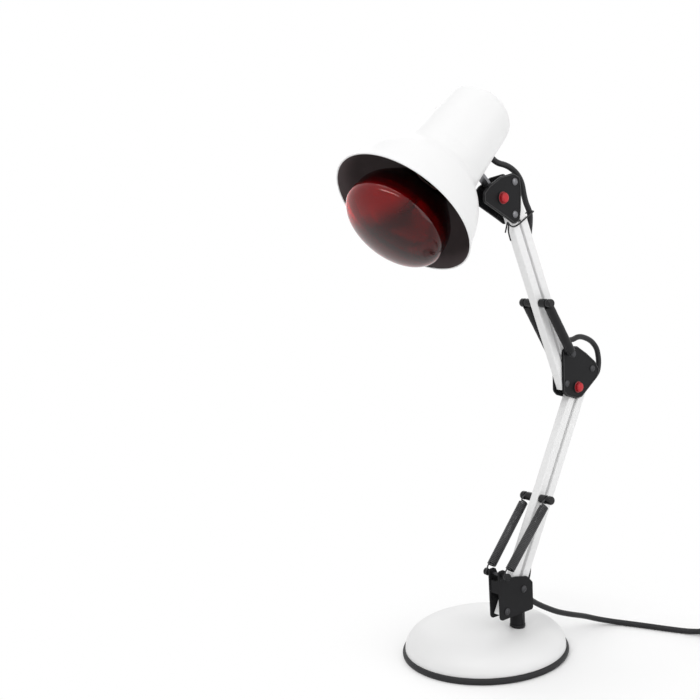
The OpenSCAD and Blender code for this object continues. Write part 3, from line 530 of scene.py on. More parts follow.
def lathe(name: str, profile: Sequence[Point2], axis: Axis, segments: int = 128,
          slots: Sequence[int] | None = None) -> Obj:
    """Turned piece.

    Args:
        name: the piece's name.
        profile: a closed outline as (radius, distance along the axis), in millimetres.
        axis: the line that it is turned round.
        segments: how many steps go round.
        slots: material number of each stretch of the outline, if there is more than one.

    Returns:
        The new piece, closed and facing outwards.
    """
    stood = axis.matrix()
    rings, verts = [], []
    for r, s in profile:
        steps = 1 if r < 1e-6 else segments
        rings.append(list(range(len(verts), len(verts) + steps)))
        for k in range(steps):
            a = 2 * pi * k / segments
            verts.append(stood @ (Vector((r * cos(a), r * sin(a), s)) * MM))
    faces, kinds = [], []
    for i, ring in enumerate(rings):
        after = rings[(i + 1) % len(rings)]
        for k in range(segments if len(ring) + len(after) > 2 else 0):
            loop = [ring[k % len(ring)], ring[(k + 1) % len(ring)],
                    after[(k + 1) % len(after)], after[k % len(after)]]
            faces.append(list(dict.fromkeys(loop)))
            kinds.append(slots[i] if slots else 0)
    mesh = bpy.data.meshes.new(name)
    mesh.from_pydata([tuple(v) for v in verts], [], faces)
    mesh.validate()
    smoothed(mesh)
    mesh.polygons.foreach_set("material_index", kinds)
    return edited(linked(name, mesh), outward)


def applied(obj: Obj) -> Obj:
    """Replaces an object's mesh with the result of its modifiers, and removes them."""
    graph = bpy.context.evaluated_depsgraph_get()
    graph.update()
    mesh = bpy.data.meshes.new_from_object(obj.evaluated_get(graph))
    obj.modifiers.clear()
    obj.data = mesh
    return obj


def cut(obj: Obj, cutter: Obj) -> Obj:
    """Takes the cutter's shape out of a piece and removes the cutter."""
    tool = obj.modifiers.new("cut", "BOOLEAN")
    tool.operation, tool.object, tool.solver = "DIFFERENCE", cutter, "EXACT"
    applied(obj)
    bpy.data.objects.remove(cutter)
    return obj


class Grown:
    """Geometry Nodes tree that grows a piece out of a line of points."""

    title = ""
    sockets: dict[str, str] = {}
    tree: Tree | None = None

    @classmethod
    def shape(cls, g: Graph, inputs: bpy.types.NodeOutputs) -> Socket:
        """Lays out the nodes from the group's inputs to the shape."""
        raise NotImplementedError

    @classmethod
    def built(cls) -> Tree:
        """The tree, made the first time that it is asked for."""
        if cls.tree is None:
            cls.tree = bpy.data.node_groups.new(cls.title, "GeometryNodeTree")
            face = cls.tree.interface
            for name, kind in {"Line": "Geometry", "Finish": "Material", **cls.sockets}.items():
                face.new_socket(name, in_out="INPUT", socket_type="NodeSocket" + kind)
            face.new_socket("Piece", in_out="OUTPUT", socket_type="NodeSocketGeometry")
            g = Graph(cls.tree)
            inputs = g.add("NodeGroupInput").outputs
            real = g.out("GeometryNodeRealizeInstances", {"Geometry": cls.shape(g, inputs)})
            dress = {"Geometry": real, "Material": inputs["Finish"]}
            g.add("NodeGroupOutput", {"Piece": g.out("GeometryNodeSetMaterial", dress)})
        return cls.tree

    @classmethod
    def grow(cls, mesh: Mesh, look: Look, values: dict[str, float]) -> Obj:
        """Grows a piece out of a mesh of edges, with the tree's other inputs by name."""
        obj = linked(mesh.name, mesh)
        tool = obj.modifiers.new("grown", "NODES")
        tool.node_group = cls.built()
        values = {**values, "Finish": look.material()}
        for item in tool.node_group.interface.items_tree:
            if item.in_out == "INPUT" and item.name in values:
                tool[item.identifier] = values[item.name]
        return applied(obj)


class Tube(Grown):
    """Round tube that skins its line."""

    title = "round_tube"
    sockets = {"Radius": "Float", "Sides": "Int"}

    @classmethod
    def shape(cls, g: Graph, inputs: bpy.types.NodeOutputs) -> Socket:
        """Lays out the skin, whose radius the points' thickness scales."""
        share = g.out("GeometryNodeInputNamedAttribute", {"Name": "thickness"}, data_type="FLOAT")
        line = g.out("GeometryNodeMeshToCurve", {"Mesh": inputs["Line"]})
        wide = g.out("GeometryNodeSetCurveRadius", {"Curve": line, "Radius": share})
        ring = g.out("GeometryNodeCurvePrimitiveCircle",
                     {"Resolution": inputs["Sides"], "Radius": inputs["Radius"]})
        skin = g.add("GeometryNodeCurveToMesh",
                     {"Curve": wide, "Profile Curve": ring, "Fill Caps": True})
        if "Scale" in skin.inputs:
            g.feed(skin, {"Scale": share})
        return g.out("GeometryNodeSetShadeSmooth", {"Geometry": skin.outputs["Mesh"]})

    @classmethod
    def along(cls, name: str, lines: Sequence[Sequence[Vector]], radius: float, look: Look,
              sides: int = 16, widths: Sequence[Sequence[float]] | None = None,
              closed: bool = False) -> Obj:
        """Tube along one or more lines.

        Args:
            name: the piece's name.
            lines: the lines that it follows, in metres.
            radius: the tube's radius in millimetres.
            look: its look.
            sides: how many sides the tube has.
            widths: share of the radius at each point of each line.
            closed: whether each line ends where it starts.

        Returns:
            The new piece as a plain mesh.
        """
        verts, edges, shares = [], [], []
        for n, line in enumerate(lines):
            first = len(verts)
            verts += [tuple(p) for p in line]
            edges += [(first + i, first + i + 1) for i in range(len(line) - 1)]
            if closed:
                edges.append((first + len(line) - 1, first))
            shares += list(widths[n]) if widths else [1.0] * len(line)
        mesh = bpy.data.meshes.new(name)
        mesh.from_pydata(verts, edges, [])
        mesh.attributes.new("thickness", "FLOAT", "POINT").data.foreach_set("value", shares)
        return cls.grow(mesh, look, {"Radius": radius * MM, "Sides": sides})


class Row(Grown):
    """Straight row of small upright bars."""

    title = "bar_row"
    sockets = {"Count": "Int", "Length": "Float", "Radius": "Float"}

    @classmethod
    def shape(cls, g: Graph, inputs: bpy.types.NodeOutputs) -> Socket:
        """Lays out the bars on evenly spread points."""
        line = g.out("GeometryNodeMeshToCurve", {"Mesh": inputs["Line"]})
        points = g.out("GeometryNodeCurveToPoints", {"Curve": line, "Count": inputs["Count"]})
        bar = g.out("GeometryNodeMeshCylinder", {"Vertices": 12, "Side Segments": 1,
                                                 "Radius": inputs["Radius"],
                                                 "Depth": inputs["Length"]})
        return g.out("GeometryNodeInstanceOnPoints", {"Points": points, "Instance": bar})

    @classmethod
    def of_bars(cls, name: str, ends: Sequence[Vector], count: int, length: float, radius: float,
                look: Look) -> Obj:
        """Row of bars between the middles of its end bars, with their sizes in millimetres."""
        mesh = bpy.data.meshes.new(name)
        mesh.from_pydata([tuple(placed(p)) for p in ends], [(0, 1)], [])
        return cls.grow(mesh, look, {"Count": count, "Length": length * MM, "Radius": radius * MM})


# ---- pieces and nodes


def dress(obj: Obj, *looks: Look) -> Obj:
    """Gives an object its materials, in the order of its slots. Faces keep their slot numbers."""
    slots = obj.data.materials
    for number, look in enumerate(looks):
        if number == len(slots):
            slots.append(None)
        slots[number] = look.material()
    return obj


def seated(obj: Obj, body: str, slot: str, *nodes: str) -> None:
    """Lets a finished piece ride on a body.

    Args:
        obj: the piece.
        body: the body that it rides on.
        slot: not used.
        *nodes: the CAD nodes that it stands for.
    """
    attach(obj, body)
    if nodes:
        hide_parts(*nodes)
    LOG.info("%s rides on %s", obj.name, body)


def bending(obj: Obj, bodies: tuple[str, str], start: Vector, end: Vector, slot: str,
            *nodes: str) -> None:
    """Fixes a finished piece's placing in its mesh and hides the CAD nodes that it stands for.

    Args:
        obj: the piece.
        bodies: the two bodies that it lies between, which only the log names.
        start: not used.
        end: not used.
        slot: not used.
        *nodes: the CAD nodes that it stands for.
    """
    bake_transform(obj)
    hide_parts(*nodes)
    LOG.info("%s bends between %s and %s", obj.name, *bodies)


def dressed_nodes(looks: dict[str, Look]) -> None:
    """Gives CAD nodes their looks. The names of those that share one are parted by spaces."""
    for names, look in looks.items():
        for name in names.split():
            dress(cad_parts[name], look)
            LOG.info("%s is dressed", name)


# ---- camera and room


@dataclass(frozen=True)
class Studio:
    """Camera at the photograph's angle, pale floor and soft light."""

    camera_at: Triple = (-0.7519, -0.7468, 0.4378)
    heading: float = 0.778
    pitch: float = 0.110
    roll: float = -0.032
    focal_px: float = 1038.08
    centre_px: Point2 = (465.55, 350.40)
    frame_px: float = 700.0
    sensor: float = 36.0
    clip: Point2 = (0.05, 50.0)
    aim: Triple = (0.0, -0.04, 0.28)
    room_light: float = 0.69
    floor_half: float = 6.0

    def camera(self) -> None:
        """Makes the camera and sets it as the scene's."""
        data = bpy.data.cameras.new("camera")
        data.sensor_width = self.sensor
        data.lens = self.focal_px * self.sensor / self.frame_px
        data.shift_x = (self.frame_px / 2 - self.centre_px[0]) / self.frame_px
        data.shift_y = (self.centre_px[1] - self.frame_px / 2) / self.frame_px
        data.clip_start, data.clip_end = self.clip
        turn = Matrix.Rotation(-self.heading, 3, "Z")
        ahead = turn @ Vector((0, cos(self.pitch), -sin(self.pitch)))
        up = turn @ Vector((0, sin(self.pitch), cos(self.pitch)))
        right = turn @ Vector((1, 0, 0))
        c, s = cos(self.roll), sin(self.roll)
        place = Matrix((right * c + up * s, up * c - right * s, -ahead)).transposed().to_4x4()
        place.translation = self.camera_at
        obj = linked("camera", data)
        obj.matrix_world = place
        bpy.context.scene.camera = obj

    def lamp(self, name: str, at: Triple, size: Point2, power: float) -> None:
        """Makes a soft lamp that faces the object, with its power in watts."""
        data = bpy.data.lights.new(name, "AREA")
        data.shape = "RECTANGLE"
        data.size, data.size_y, data.energy = *size, power
        obj = linked(name, data)
        obj.location = at
        obj.rotation_mode = "QUATERNION"
        obj.rotation_quaternion = (Vector(self.aim) - Vector(at)).to_track_quat("-Z", "Y")

    def room(self) -> None:
        """Makes the lamps, and a world that lights softly and looks white."""
        self.lamp("key", (-1.5, -0.55, 1.75), (1.5, 0.12), 9.0)
        self.lamp("strip", (-0.47, -0.13, 1.83), (1.3, 0.08), 4.0)
        self.lamp("fill", (0.5, -1.7, 0.9), (1.4, 1.4), 8.5)
        self.lamp("top", (0.3, 0.3, 2.1), (1.4, 1.4), 2.0)
        self.lamp("back", (1.2, 1.5, 1.0), (1.2, 1.2), 5.0)
        world = bpy.data.worlds.new("room")
        world.use_nodes = True
        bpy.context.scene.world = world
        world.node_tree.nodes.clear()
        g = Graph(world.node_tree)
        lit, shown = (g.out("ShaderNodeBackground", {"Color": WHITE, "Strength": strength})
                      for strength in (self.room_light, 1.0))
        both = g.out("ShaderNodeMixShader", {0: g.seen(), 1: lit, 2: shown})
        g.add("ShaderNodeOutputWorld", {"Surface": both})

    def floor(self) -> None:
        """Makes the pale floor."""
        h = self.floor_half
        mesh = bpy.data.meshes.new("floor")
        mesh.from_pydata([(-h, -h, 0), (h, -h, 0), (h, h, 0), (-h, h, 0)], [], [(0, 1, 2, 3)])
        obj = dress(linked("floor", mesh), PaleFloor("floor"))


# ---- leads and mains cord


@dataclass(frozen=True)
class MainsLead:
    """The free lead from the bracket through the switch and the coil to the plug."""

    diameter: float = 6.0
    exit_step: Point2 = (15.5, -16.0)
    exit_fall: float = 36.0
    heading: float = -69.0
    switch_from: Triple = (180.0, -130.0, 7.0)
    switch_l: float = 58.0
    settle: float = 22.0
    coil_r: float = 43.5
    turns: int = 3
    step: float = 6.6
    tail_r: float = 23.9
    tail_drop: float = 2.6
    plug_way: Point2 = (-3.0, -2.0)
    rib_step: float = 3.4
    grip_l: float = 13.9
    grip_r: float = 0.6

    @property
    def way(self) -> Vector:
        """Direction of the switch on the floor."""
        return Vector((*polar(1, self.heading), 0))

    @property
    def exit_dir(self) -> Vector:
        """Direction in which the lead leaves the bracket."""
        return plane(polar(1, -self.exit_fall))

    @property
    def exit_at(self) -> Vector:
        """Where the lead leaves the bracket."""
        return AT.foot_rear + plane(self.exit_step)

    def to_switch(self) -> list[Vector]:
        """Route from the bracket to the switch."""
        s = Vector(self.switch_from)
        run = [(44, -1, 41.9), (61, -3, 32.9), (79, -5, 25.6), (99, -6, 18.2), (110, -7, 13.7),
               (118, -8.4, 10.3), (125.6, -11.1, 7.4), (132.4, -15.5, 5.2), (138, -21.5, 3.8),
               (142.3, -28.5, 3.2), (149, -45, 3), (155, -62, 3), (161, -79, 3), (167, -95, 3.2)]
        start = [self.exit_at + 0.1 * self.exit_dir, self.exit_at + 14 * self.exit_dir]
        rise = [s - 24 * self.way - Vector((0, 0, 2.4)), s - 12 * self.way - Vector((0, 0, 0.4))]
        return spline([*start, *map(Vector, run), *rise, s], 6)

    def coil(self) -> list[Vector]:
        """Route of the flat coil: in on the floor, up one layer and out again on top."""
        after = Vector(self.switch_from) + self.switch_l * self.way
        low = self.diameter / 2
        start = Vector((after.x, after.y, low)) + self.settle * self.way
        mid = start + (self.coil_r + 0.6) * Vector((self.way.y, -self.way.x, 0))
        inner = self.coil_r - self.turns * self.step
        n = 24 * self.turns
        drop = after.z - low
        out = [after + self.settle * t / 12 * self.way
               - Vector((0, 0, drop * (1 - cos(pi * t / 12)) / 2)) for t in range(12)]
        for i in range(2 * (2 * n + 12) + 1):
            k = i / 2
            if k <= n:
                r, z = self.coil_r - self.step * k / 24, 0.0
            elif k <= n + 12:
                r, z = inner - 1.5 * sin(radians(15 * (k - n))), self.step * (k - n) / 12
            else:
                r, z = inner + self.step * (k - n - 12) / 24, self.step
            out.append(mid + Vector((*polar(r, self.heading + 90 - 15 * k), z)))
        return out + [out[-1] - self.diameter * self.way]

    def tail(self, start: Vector) -> list[Vector]:
        """Route from the coil to the plug, a bend and a short straight end."""
        first, last, r = radians(self.heading + 180), radians(213.7), self.tail_r
        bend = [(r * (sin(a) - sin(first)), r * (cos(first) - cos(a)))
                for a in np.linspace(first, last, 22)]
        out = [start + Vector((x, y, -self.tail_drop * i / 21)) for i, (x, y) in enumerate(bend)]
        return out + [start + Vector((-41, 7.6, -self.tail_drop))]

    def relief(self, line: Sequence[Vector], length: float, start: float = 1.45,
               end: float = 1.06) -> tuple[list[Vector], list[float]]:
        """Ribbed strain relief over the first stretch of a line.

        Args:
            line: the lead's line from the housing outwards.
            length: how far the relief reaches.
            start: its radius at the housing, as a share of the lead's.
            end: its radius at the tip.

        Returns:
            The relief's line in metres and its share of the lead's radius at each point.
        """
        dense, run = [line[0]], 0.0
        for p, q in zip(line, line[1:]):
            steps = max(1, int((q - p).length / 0.35))
            dense += [p.lerp(q, (i + 1) / steps) for i in range(steps)]
        kept, shares = [], []
        for i, p in enumerate(dense):
            run += (p - dense[i - 1]).length if i else 0.0
            if run > length:
                break
            t = run / length
            grooved = 0.15 < t < 0.92 and sin(2 * pi * run / self.rib_step) < -0.15
            kept.append(placed(p))
            share = start + (end - start) * t - (0.12 if grooved else 0.0)
            shares.append(min(share, 1.98 * p.z / self.diameter))
        return kept, shares

    def build(self) -> None:
        first, coil = self.to_switch(), self.coil()
        tail = self.tail(coil[-1])
        route = placed_all(first + coil + tail[1:])
        lead = Tube.along("MainsLead", [route], self.diameter / 2, PVC, 20)
        reliefs = [self.relief(first[::-1], 24), self.relief(coil, 22),
                   self.relief(tail[::-1], 10, 1.35, 1.05)]
        sleeves = Tube.along("StrainReliefs", [r[0] for r in reliefs], self.diameter / 2, RUBBER,
                             24, [r[1] for r in reliefs])
        seated(sleeves, "base", "plastic_black")
        heading = atan2(self.plug_way[1], self.plug_way[0])
        onward = Vector((cos(heading), sin(heading), 0))
        sides = Row.of_bars("PlugGrips", [tail[-1] + reach * onward for reach in (26, 44)], 7,
                            self.grip_l, self.grip_r, MOULDED)
        seated(sides, "base", "plastic_black")
        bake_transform(lead)
        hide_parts("cord_lamp", "cord_coil", "cord_plug")


@dataclass(frozen=True)
class ArmLead:
    """The same lead where it runs through the rear tubes and loops over the joints."""

    radius: float = 3.0
    slot_end: float = 40.0
    inner_from: float = 40.5
    head_from: float = 78.0
    gland_at: float = 123.0
    gland_r: float = 34.35
    tie_at: float = 39.0
    tie_r: float = 3.75
    tie_wire_r: float = 0.75

    def way_out(self) -> list[Point2]:
        """Way out of a tube, as (out of the slot, distance from the pivot nearby)."""
        e = self.slot_end
        return [(0, e + 1.8), (0, e - 2), (1.6, e - 8), (4.6, e - 14.5), (7.4, e - 21),
                (8.8, e - 27)]

    def stretch(self, name: str, node: str, points: Sequence[Vector], bodies: Sequence[str],
                *bend: Vector) -> None:
        """Makes a stretch of the lead on one body, or on two with the two ends of the bend."""
        piece = Tube.along(name, [placed_all(points)], self.radius, PVC, 20)
        if bend:
            bending(piece, bodies, *bend, "lead_pvc", node)
        else:
            seated(piece, *bodies, "lead_pvc", node)

    def build(self) -> None:
        """Makes every stretch of the lead on the arm, and its tie."""
        mains = MainsLead()
        way = self.way_out()
        out, there = mains.exit_at, mains.exit_dir
        foot = [lower_at(x, z) for x, z in way]
        foot += [lower_at(8.7, 4), out - 9.5 * there, out - 5 * there, out - 0.1 * there]
        self.stretch("LeadAtBracket", "bracket_lead", spline(foot, 6), ("bracket", "lower_rear"),
                     out - 3 * there, lower_at(4, 27))
        near = self.inner_from
        self.stretch("LeadInLowerTube", "lower_rear_lead",
                     [lower_at(0, z) for z in (near, LAMP.lower_len - near)], ["lower_rear"])
        self.stretch("LeadInUpperTube", "upper_rear_lead",
                     [upper_at(0, z) for z in (near, LAMP.upper_len - self.head_from)],
                     ["upper_rear"])
        self.elbow(way)
        self.head()
        self.tie()

    def elbow(self, way: Sequence[Point2]) -> None:
        """Makes the loop behind the elbow, parted at its top."""
        p2 = AT.elbow_rear
        top = p2 + plane((-4, 34))
        route = [lower_at(x + (2 if z < 15 else 0), LAMP.lower_len - z) for x, z in way]
        route += [p2 + plane(v) for v in ((16.8, -7.5), (20.4, 1), (20.4, 10), (17.3, 20),
                                          (8.5, 28.6))]
        split = 6 * len(route)
        route += [top, top + plane((-10, 1.4)), top + plane((-19.5, -0.4)), upper_at(14.6, 8.5)]
        route += [upper_at(way[i][0] + (1 if i == 4 else 0), way[i][1]) for i in (4, 3, 2, 1, 0)]
        line = spline(route, 6)
        self.stretch("ElbowLoopLower", "elbow_lead_lower", line[: split + 1],
                     ("lower_rear", "elbow"), lower_at(5, LAMP.lower_len - 22),
                     top + plane((4, -4)))
        self.stretch("ElbowLoopUpper", "elbow_lead_upper", line[split:], ("elbow", "upper_rear"),
                     top + plane((-3, 0)), upper_at(5, 27))

    def head(self) -> None:
        """Makes the lead over the head joint and inside the shade's neck."""
        h2, at, r = AT.head_rear, self.gland_at, self.gland_r
        over = h2 + plane((3.5, 13.6))
        route = [head_at(at + s, r + out) for s, out in ((0, 3.3), (0, 6.5), (1, 11), (3.7, 16.4))]
        route += [over + plane((-8.5, 3))]
        split = 6 * len(route)
        route += [over] + [h2 + plane(v) for v in ((12, 8), (18.3, -0.5), (21.4, -12))]
        route += [upper_at(x, LAMP.upper_len - z) for x, z in
                  ((14.6, 28), (15.5, 39), (12, 48), (7.4, 55.5), (3.2, 62.5), (0.6, 69), (0, 74),
                   (0, 78.8))]
        line = spline(route, 6)
        self.stretch("HeadLoopUpper", "head_lead_upper", line[: split + 1],
                     ("head", "head_joint"), head_at(at, r + 6), over)
        self.stretch("HeadLoopLower", "head_lead_lower", line[split:],
                     ("head_joint", "upper_rear"), over, upper_at(14.6, LAMP.upper_len - 30))
        inside = [(at, r + 3), (at, r), (at, r - 4.5), (123.5, 29), (126, 24.5), (131, 18),
                  (134.5, 12.5), (132.5, 10.4), (128.4, 10)]
        self.stretch("LeadInNeck", "holder_lead", spline([head_at(s, q) for s, q in inside], 6),
                     ["head"])

    def tie(self) -> None:
        """Makes the thin wire that ties the lead to the upper arm."""
        u, x = LAMP.upper_len - self.tie_at, 15.5
        h1 = AT.head_front
        side, reach = 5.7, self.tie_r / cos(radians(22.5))
        knot = h1 + Vector((-9.8, -6.6, -7.6))
        first = [knot + Vector((-5, -1, -10)), knot + Vector((-1.5, 0, -3)), knot,
                 h1 + Vector((-5.6, -6, -10.8)), h1 + Vector((0, -side - 0.2, -12)),
                 h1 + Vector((7.6, -side - 0.1, -9.4)), upper_at(side, u, -side)]
        ring = [polar(reach, a) for a in (-90, -45, 0, 45, 90)]
        first += [upper_at(x + out, u, y) for out, y in ring]
        first += [upper_at(side, u, side), upper_at(1 - side, u, side),
                  upper_at(-side, u, side - 1), upper_at(-side, u, 1 - side)]
        second = [knot + Vector(v) for v in ((0, 0, 0), (0.5, -0.6, -4), (0.2, -0.4, -9),
                                             (2, 0, -14), (4, 0.4, -18))]
        wire = Tube.along("LeadTie", [placed_all(spline(first, 4)), placed_all(spline(second, 5))],
                          self.tie_wire_r, SPOOL, 10)
        seated(wire, "upper_rear", "tie_wire", "lead_tie")


# ---- sub-assemblies


@dataclass(frozen=True)
class Base:
    """Domed cover, trim ring, weight, pad and socket."""

    base_d: float = 176.0
    base_h: float = 36.0
    wall: float = 1.2
    ring_h: float = 6.5
    lip: float = 3.0
    hole_r: float = 7.72
    seam: float = 3.05
    segments: int = 192

    def dome(self, top: float, edge: float, steps: int) -> list[Point2]:
        """Outline of the dome from its middle to its edge."""
        line = []
        for i in range(steps + 1):
            r = edge * sin(pi / 2 * i / steps)
            share = max(0.0, 1 - (r / edge) ** 3) ** (1 / 2.3)
            line.append((r, self.ring_h + (top - self.ring_h) * share))
        return line

    def build(self) -> None:
        """Makes the cover and the ring, and dresses what stays from the CAD model."""
        up, ring_h = Vector((0, 0, 1)), self.ring_h
        edge = self.base_d / 2 - self.lip
        outer = self.dome(self.base_h, edge, 60)
        inner = self.dome(self.base_h - self.wall, edge - self.wall, 40)
        profile = outer + [(edge, ring_h - 3), (edge - self.wall, ring_h - 3)] + inner[::-1]
        cover = lathe("BaseCover", profile, Axis(Vector(), up), self.segments)
        hole = lathe("hole", [(0, 0), (self.hole_r, 0), (self.hole_r, 60), (0, 60)],
                     Axis(placed(Vector()), up), 64)
        dress(sharpened(cut(cover, hole)), ENAMEL)
        seated(cover, "base", "paint_white", "base_cover")
        out, low, foot = self.base_d / 2 - 0.01, 0.3, edge - self.wall - 1.6
        bulge = [(out - 1.9 + 1.9 * cos(a), ring_h / 2 + (ring_h / 2 - low + 0.15) * sin(a))
                 for a in (radians(t) for t in range(-90, 91, 10))]
        profile = [(foot, low), *bulge, (edge + 0.06, ring_h - 0.05),
                   (edge + 0.06, ring_h - self.seam), (foot, ring_h - self.seam)]
        ring = lathe("TrimRing", profile, Axis(Vector(), up), self.segments)
        dress(sharpened(ring, 45), RUBBER)
        seated(ring, "base", "trim_rubber", "trim_ring")
        dressed_nodes({"socket_bush": SPOOL, "base_weight": IRON, "base_pad": FOAM,
                       "bush_nut swivel_spigot": ZINC, "switch_body plug cord_clamp": MOULDED,
                       "switch_rocker": ROCKER})


@dataclass(frozen=True)
class Plates:
    """Black pivot plates and the bracket, with the raised rim round each outer face, coloured a
    lighter black as a painted highlight along the edges.
    """

    inset: float = 1.0
    bead: float = 0.6
    lift: float = 0.05

    def outline(self, node: str, side: Side) -> list[Vector]:
        """Outer edge of a plate's face on one side, in order and in metres."""
        bm = bmesh.new()
        bm.from_mesh(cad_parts[node].data)
        merged(bm)
        face_y = max(v.co.y * side.value for v in bm.verts) * side.value
        flat = {f for f in bm.faces if all(abs(v.co.y - face_y) < 2e-5 for v in f.verts)}
        links: dict[int, list[int]] = {}
        for e in bm.edges:
            if sum(f in flat for f in e.link_faces) == 1:
                a, b = (v.index for v in e.verts)
                links.setdefault(a, []).append(b)
                links.setdefault(b, []).append(a)
        bm.verts.ensure_lookup_table()
        loops, left = [], set(links)
        while left:
            loop = [min(left)]
            while onward := [n for n in links[loop[-1]] if n not in loop]:
                loop.append(onward[0])
            left -= set(loop)
            loops.append([bm.verts[i].co.copy() for i in loop])
        bm.free()
        return max(loops, key=self.spread)

    @staticmethod
    def spread(points: Sequence[Vector]) -> float:
        """Diagonal of the box round some points."""
        xs, zs = [p.x for p in points], [p.z for p in points]
        return hypot(max(xs) - min(xs), max(zs) - min(zs))

    def rim(self, name: str, node: str, body: str, side: Side) -> None:
        """Makes the raised rim on one plate, in the lighter black of the painted edge highlight."""
        points = self.outline(node, side)
        area = sum(a.x * b.z - b.x * a.z for a, b in zip(points, points[1:] + points[:1]))
        turn, lift = 1.0 if area > 0 else -1.0, Vector((0, side.value * self.lift * MM, 0))
        line = []
        for i, p in enumerate(points):
            along = points[(i + 1) % len(points)] - points[i - 1]
            inward = Vector((-along.z, 0, along.x)).normalized() * turn
            line.append(p + inward * self.inset * MM + lift)
        bead = Tube.along(name, [line], self.bead, RIM_HIGHLIGHT, 8, closed=True)
        seated(bead, body, "plastic_black")

    def build(self) -> None:
        """Dresses the plates and what holds them, and makes their rims."""
        for title, node, body in (("Elbow", "elbow_plate_{}", "elbow"),
                                  ("Head", "head_plate_{}", "head_joint"),
                                  ("Cheek", "swivel_bracket", "bracket")):
            for side in Side:
                word = side.name.title()
                self.rim(f"Rim{title}{word}", node.format(word.lower()), body, side)
        dressed_nodes({
            "swivel_bracket lead_gland elbow_plate_near elbow_plate_far": MOULDED,
            "head_plate_near head_plate_far": MOULDED,
            "bracket_pins spring_anchor_pin elbow_pins elbow_anchor_pin": RIVET,
            "head_pins elbow_bolt tilt_bolt lower_spring_pin upper_spring_pin": DARK_ZINC,
            "anchor_caps lower_pin_caps upper_pin_caps": SPOOL,
            "elbow_bolt_cap": RedCap("elbow_cap", placed(AT.elbow_bolt)),
            "tilt_bolt_cap": RedCap("tilt_cap", placed(AT.tilt_bolt)),
        })


